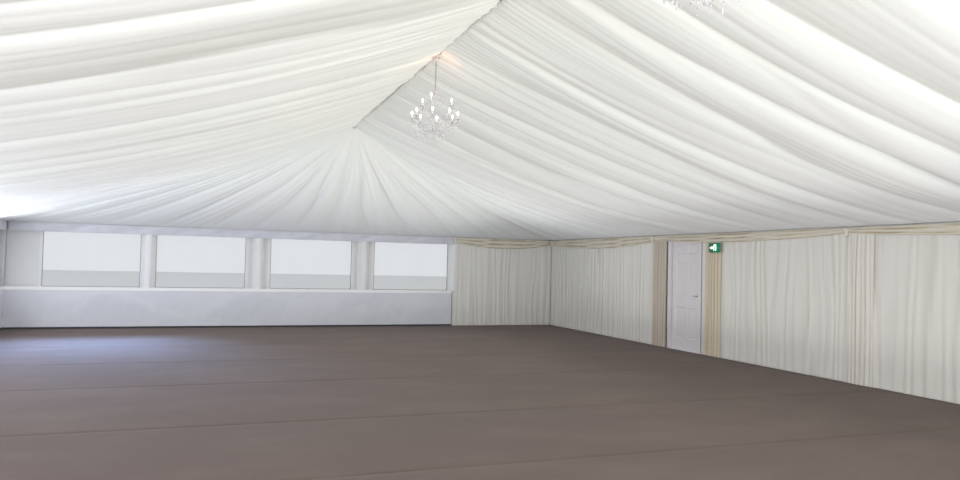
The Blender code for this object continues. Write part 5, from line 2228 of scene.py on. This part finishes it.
@dataclass
class Chandelier:
    """Branched crystal lamp: a chain, a turned stem, arms with candles, and strings of beads."""

    number: int
    y: float
    arms: int = 8
    upper_arms: int = 3
    reach: float = 0.247
    upper_reach: float = 0.187
    cup: float = 3.055
    upper_cup: float = 3.215
    body_top: float = 3.392
    bottom: float = 2.818

    def tiers(self) -> tuple[tuple[bool, int, float, float, float], ...]:
        """Whether it is the upper one, arms, turn, reach and cup height of both tiers."""
        return ((False, self.arms, 0.5, self.reach, self.cup),
                (True, self.upper_arms, 0.0, self.upper_reach, self.upper_cup))

    def stem(self) -> Pieces:
        """Turned rose, cups and finial.

        Returns:
            The pieces.
        """
        rose = [(0.0, 3.748), (0.014, 3.744), (0.040, 3.728), (0.044, 3.720), (0.012, 3.706),
                (0.0, 3.705)]
        below = ((0.0, 0.0), (0.008, 0.004), (0.026, 0.020), (0.030, 0.028), (0.012, 0.040),
                 (0.006, 0.075), (0.012, 0.100), (0.017, 0.125), (0.008, 0.160), (0.006, 0.205),
                 (0.014, 0.240), (0.022, 0.262), (0.010, 0.290), (0.007, 0.340), (0.016, 0.385),
                 (0.026, 0.420), (0.030, 0.440), (0.024, 0.462), (0.010, 0.485), (0.008, 0.505),
                 (0.018, 0.525), (0.017, 0.545), (0.006, 0.560))
        body = [(radius, self.body_top - drop) for radius, drop in below] + [(0.0, self.bottom)]
        return [turned_mesh(f"stem_{self.number}_{len(profile)}", profile, 20, (0.0, self.y, 0.0),
                            Look.CRYSTAL) for profile in (rose, body)]

    def tube(self, path: np.ndarray, size: float, sides: int = 8) -> np.ndarray:
        """Rows of points of a tube along a path.

        Args:
            path: the path's points.
            size: its radius.
            sides: how many faces go round.

        Returns:
            The rows.
        """
        rows = []
        for i, p in enumerate(path):
            ahead = path[min(i + 1, len(path) - 1)] - path[max(i - 1, 0)]
            ahead = Vector(ahead).normalized()
            side = ahead.cross(UP)
            side = side.normalized() if side.length > 1e-6 else Vector((1, 0, 0))
            up = side.cross(ahead)
            rows.append([tuple(Vector(p) + size * (math.cos(a) * side + math.sin(a) * up))
                         for a in np.linspace(0, math.tau, sides, endpoint=False)])
        return np.array(rows)

    def arm(self, angle: float, upper: bool, label: str) -> Piece:
        """One scrolled arm, from the stem down and out and up to its candle cup.

        Args:
            angle: its direction from the stem.
            upper: whether it is one of the upper tier.
            label: the piece's name.

        Returns:
            The piece.
        """
        shape = ((0.05, 0.32), (0.24, 0.12), (0.50, 0.0), (0.75, 0.08), (0.92, 0.34), (1.0, 0.66),
                 (1.0, 1.0))
        reach = self.upper_reach if upper else self.reach
        low, high = (3.118, self.upper_cup) if upper else (2.912, self.cup)
        path = flowing([(r * reach, low + share * (high - low)) for r, share in shape], 20)
        out, z = path.T
        points = np.stack([out * math.cos(angle), self.y + out * math.sin(angle), z], axis=-1)
        return closed(sheet_mesh(label, self.tube(points, 0.0042), Look.CRYSTAL, wrap=True))

    def candle(self, at: Point, label: str) -> Pieces:
        """Drip pan, sleeve and bright bulb.

        Args:
            at: the place of its cup.
            label: the end of its name.

        Returns:
            The pieces.
        """
        pan = [(0.0, 0.004), (0.012, 0.005), (0.026, 0.011), (0.028, 0.009), (0.014, 0.0),
               (0.007, -0.008), (0.0, -0.009)]
        sleeve = [(0.0, 0.052), (0.0075, 0.052), (0.0085, 0.049), (0.0085, 0.005), (0.0, 0.005)]
        bulb = [(0.0, 0.091), (0.003, 0.089), (0.0080, 0.083), (0.0105, 0.074), (0.0100, 0.066),
                (0.006, 0.057), (0.003, 0.0525), (0.0, 0.0525)]
        parts = (("pan", pan, 16, Look.CRYSTAL), ("sleeve", sleeve, 12, Look.CANDLE),
                 ("bulb", bulb, 14, Look.BULB))
        return [turned_mesh(f"{word}_{label}", profile, sides, at, look)
                for word, profile, sides, look in parts]

    def around(self, count: int, turn: float, reach: float, z: float) -> list[Point]:
        """Places evenly round the stem."""
        angles = (np.arange(count) + turn) / count * math.tau
        return [(reach * math.cos(a), self.y + reach * math.sin(a), z) for a in angles]

    def beads(self) -> Piece:
        """Strings of cut beads hung between the tiers, along Geometry Nodes curves.

        Returns:
            The piece.
        """
        recipe = Recipe("bead_strings", {"Step": 0.0150, "Size": 0.0046, "Long": 1.15})
        g, take = recipe.graph, recipe.take
        bead = g.add("GeometryNodeMeshIcoSphere", inputs={"Radius": take("Size"), "Subdivisions": 1})
        bead = recipe.moved(bead, Scale=g.joined(1.0, 1.0, take("Long")))
        recipe.scatter(recipe.paces(), bead, 0.9)
        crown = self.around(6, 0.0, 0.026, self.body_top - 0.030)
        upper = self.around(self.upper_arms, 0.0, self.upper_reach, self.upper_cup)
        lower = self.around(self.arms, 0.5, self.reach, self.cup)
        foot = self.around(self.arms, 0.5, 0.020, self.bottom + 0.045)
        spans = [(crown[2 * i], upper[i], 0.045) for i in range(self.upper_arms)]
        spans += [(upper[i], lower[(self.arms * i // self.upper_arms + k) % self.arms], 0.040)
                  for i in range(self.upper_arms) for k in (0, self.arms - 1)]
        spans += [(lower[i], lower[(i + 1) % self.arms], 0.050) for i in range(self.arms)]
        spans += [(lower[i], foot[i], 0.050) for i in range(0, self.arms, 2)]
        elbow, tip = (self.around(self.arms, 0.5, 0.165, z) for z in (2.920, 2.868))
        spans += [(elbow[i], tip[i], 0.0) for i in range(self.arms)]
        knots = 14
        verts: list[Point] = []
        edges: list[tuple[int, int]] = []
        for a, b, sag in spans:
            start = len(verts)
            for share in np.linspace(0.0, 1.0, knots):
                p = Vector(a).lerp(Vector(b), share)
                verts.append((p.x, p.y, p.z - sag * 4 * share * (1 - share)))
            edges.extend((start + i, start + i + 1) for i in range(knots - 1))
        base = lines_mesh("bead_lines", verts, edges)
        return recipe.bake(f"chandelier_{self.number}_beads", Look.CRYSTAL, {}, base)

    def drops(self) -> Piece:
        """Cut drops under the arms and pans, in Geometry Nodes.

        Returns:
            The piece.
        """
        recipe = Recipe("crystal_drops", {"Radius": 0.0075, "Length": 0.038})
        g, take = recipe.graph, recipe.take
        halves = []
        for top, bottom, share, down in ((0.0, 1.0, 0.45, -0.45), (1.0, 0.0, 0.55, -1.0)):
            cone = g.add("GeometryNodeMeshCone", inputs={
                "Vertices": 6, "Side Segments": 1, "Radius Top": take("Radius") * top,
                "Radius Bottom": take("Radius") * bottom, "Depth": take("Length") * share})
            halves.append(recipe.moved(cone, Translation=g.joined(0.0, 0.0, take("Length") * down)))
        welded = g.add("GeometryNodeMergeByDistance", inputs={
            "Geometry": recipe.together(*halves), "Distance": 0.0002})
        size = 0.72 + 0.55 * (g.add("GeometryNodeInputIndex") * 0.618).fract()
        recipe.scatter(recipe.spots(), welded, 1.7, size)
        rings = (
            (8, 0.0, 0.205, 2.900), (8, 0.5, 0.165, 2.862), (6, 0.5, 0.075, 2.915),
            (6, 0.0, 0.034, self.body_top - 0.030), (3, 0.0, 0.100, 3.112),
            (5, 0.0, 0.024, self.bottom + 0.050), (16, 0.25, 0.215, 2.925), (12, 0.3, 0.145, 3.012),
            (8, 0.5, 0.262, 3.020), (9, 0.2, 0.120, 3.225),
        )
        spots = [at for ring in rings for at in self.around(*ring)]
        for _, count, turn, reach, cup in self.tiers():
            for x, y, z in self.around(count, turn, reach, cup - 0.004):
                for k in range(4):
                    b = (k + 0.5) / 4 * math.tau
                    spots.append((x + 0.024 * math.cos(b), y + 0.024 * math.sin(b), z))
        base = lines_mesh("drop_spots", spots)
        return recipe.bake(f"chandelier_{self.number}_drops", Look.CRYSTAL, {}, base)

    def chain(self) -> Piece:
        """Links from the ceiling rose down to the stem.

        Returns:
            The piece.
        """
        recipe = Recipe("chain_links", {"Step": 0.021, "Bar": 0.0030, "Link": 0.0100})
        g, take = recipe.graph, recipe.take
        ring, bar = (g.add("GeometryNodeCurvePrimitiveCircle",
                           inputs={"Resolution": sides, "Radius": take(label)})
                     for sides, label in ((10, "Link"), (5, "Bar")))
        one = g.add("GeometryNodeCurveToMesh", inputs={"Curve": ring, "Profile Curve": bar})
        one = recipe.moved(one, Rotation=(math.pi / 2, 0.0, 0.0), Scale=(0.72, 0.72, 1.45))
        recipe.scatter(recipe.paces(), one, math.pi / 2, smooth=True)
        line = [(0.0, self.y, z) for z in (3.706, 3.55, 3.386)]
        base = lines_mesh("chain_line", line, [(0, 1), (1, 2)])
        return recipe.bake(f"chandelier_{self.number}_chain", Look.STEEL, {}, base)

    def build(self) -> Pieces:
        """Body, candles, beads, drops and chain.

        Returns:
            The pieces.
        """
        body = self.stem()
        candles = []
        for upper, count, turn, reach, cup in self.tiers():
            for i, at in enumerate(self.around(count, turn, reach, cup)):
                label = f"{self.number}_{int(upper)}_{i}"
                body.append(self.arm((i + turn) / count * math.tau, upper, f"arm_{label}"))
                candles += self.candle(at, label)
        node = f"chandelier_{self.number}"
        body.append(self.beads())
        body.append(self.drops())
        made = [merge_meshes(f"{node}_crystal_body", body), merge_meshes(f"{node}_candles", candles),
                self.chain()]
        for piece in made:
            settle(piece, "tent", "crystal", node)
        return made


@dataclass
class Studio:
    """Floor, light and camera."""

    camera_at: Point = (-2.308, -7.632, 1.517)
    yaw: float = 20.56
    pitch: float = 1.81
    roll: float = 1.34
    lens: float = 27.8

    def lamp(
        self, name: str, at: Point, towards: Point, size: tuple[float, float], power: float,
        colour: Colour = (1.0, 1.0, 1.0), spread: float = 180.0,
    ) -> None:
        """Soft light panel that the camera doesn't see.

        Args:
            name: its name.
            at: its place.
            towards: what it shines at.
            size: its two sides.
            power: its power in watts.
            colour: its colour.
            spread: how wide it shines, in degrees.
        """
        data = bpy.data.lights.new(name, "AREA")
        data.shape = "RECTANGLE"
        data.size, data.size_y = size
        data.energy = power
        data.spread = math.radians(spread)
        data.color = colour
        lamp = bpy.data.objects.new(name, data)
        lamp.location = at
        aim = Vector(towards) - Vector(at)
        lamp.rotation_euler = aim.to_track_quat("-Z", "Y").to_euler()
        lamp.visible_camera = False
        lamp.visible_glossy = False
        bpy.context.scene.collection.objects.link(lamp)

    def light(self) -> None:
        """Even light inside the tent and round it."""
        world = bpy.data.worlds.new("studio")
        world.use_nodes = True
        back = world.node_tree.nodes["Background"]
        back.inputs["Color"].default_value = (0.93, 0.96, 1.0, 1.0)
        back.inputs["Strength"].default_value = 0.80
        bpy.context.scene.world = world
        cool, blue, warm = (0.92, 0.96, 1.0), (0.86, 0.93, 1.0), (1.0, 0.99, 0.95)
        sky = (0.27, 0.49, 1.0)
        for lamp in (
            ("up_light", (0.6, -1.0, 0.35), (0.6, -1.0, 4.0), (9.5, 15.0), 200.0),
            ("back_up", (0.0, 6.4, 0.75), (0.0, 7.2, 3.4), (10.0, 4.0), 38.0, blue),
            ("front_fill", (-0.5, -8.3, 1.35), (1.5, 4.0, 2.45), (9.0, 1.6), 290.0),
            ("window_side", (-5.7, 1.0, 1.5), (4.0, 1.0, 2.4), (14.0, 1.3), 190.0, cool),
            ("left_slope", (5.3, 1.2, 1.0), (-3.5, 1.2, 2.7), (13.0, 1.0), 110.0, warm, 80.0),
            ("floor_sky", (-4.2, 8.6, 1.9), (-4.0, 5.2, 0.0), (2.8, 0.8), 165.0, sky, 60.0),
            ("lamp_glow", (0.0, -0.2, 3.50), (0.0, 0.2, 3.8), (0.2, 0.2), 0.34, (1.0, 0.50, 0.28)),
            ("sky_key", (-30.0, -40.0, 42.0), (0.0, 0.0, 1.0), (34.0, 34.0), 10500.0),
        ):
            self.lamp(*lamp)

    def build(self) -> None:
        """Add the floor, the lights and the camera."""
        bm = bmesh.new()
        box_mesh(bm, (-70.0, -70.0, -0.06), (70.0, 70.0, -0.003))
        mesh = mesh_from("studio_floor", bm)
        finish = bpy.data.materials.new("finish_studio_floor")
        finish.use_nodes = True
        shader = finish.node_tree.nodes["Principled BSDF"]
        shader.inputs["Base Color"].default_value = (0.66, 0.66, 0.65, 1.0)
        shader.inputs["Roughness"].default_value = 0.9
        mesh.materials.append(finish)
        link("studio_floor", mesh)
        self.light()

        yaw, pitch, roll = (math.radians(a) for a in (self.yaw, self.pitch, self.roll))
        flat = math.cos(pitch)
        ahead = Vector((math.sin(yaw) * flat, math.cos(yaw) * flat, math.sin(pitch)))
        level = Vector((math.cos(yaw), -math.sin(yaw), 0.0))
        upright = level.cross(ahead)
        right = level * math.cos(roll) + upright * math.sin(roll)
        up = upright * math.cos(roll) - level * math.sin(roll)
        data = bpy.data.cameras.new("photo_view")
        data.lens = self.lens
        data.sensor_width = 36.0
        data.clip_end = 400.0
        camera = bpy.data.objects.new("photo_view", data)
        turn = Matrix((right, up, -ahead)).transposed().to_4x4()
        camera.matrix_world = Matrix.Translation(self.camera_at) @ turn
        bpy.context.scene.collection.objects.link(camera)
        bpy.context.scene.camera = camera
        bpy.context.scene.view_settings.view_transform = "Standard"


def main() -> None:
    """Build the marquee's looks and report each piece."""
    logging.basicConfig(level=logging.INFO, format="%(name)s: %(message)s")
    Studio().build()
    groups = (
        FrameMetal(), Covers(), WindowWalls(), Floor(), RoofLining(), RidgeTape(), HungCloth(),
        Pelmets(), Door(), ExitSign(), Chandelier(1, -PLAN.bay), Chandelier(2, 0.0),
    )
    for group in groups:
        for piece in group.build():
            log.info("%s: %d faces", piece.name, len(piece.data.polygons))


if __name__ == "__main__":
    main()
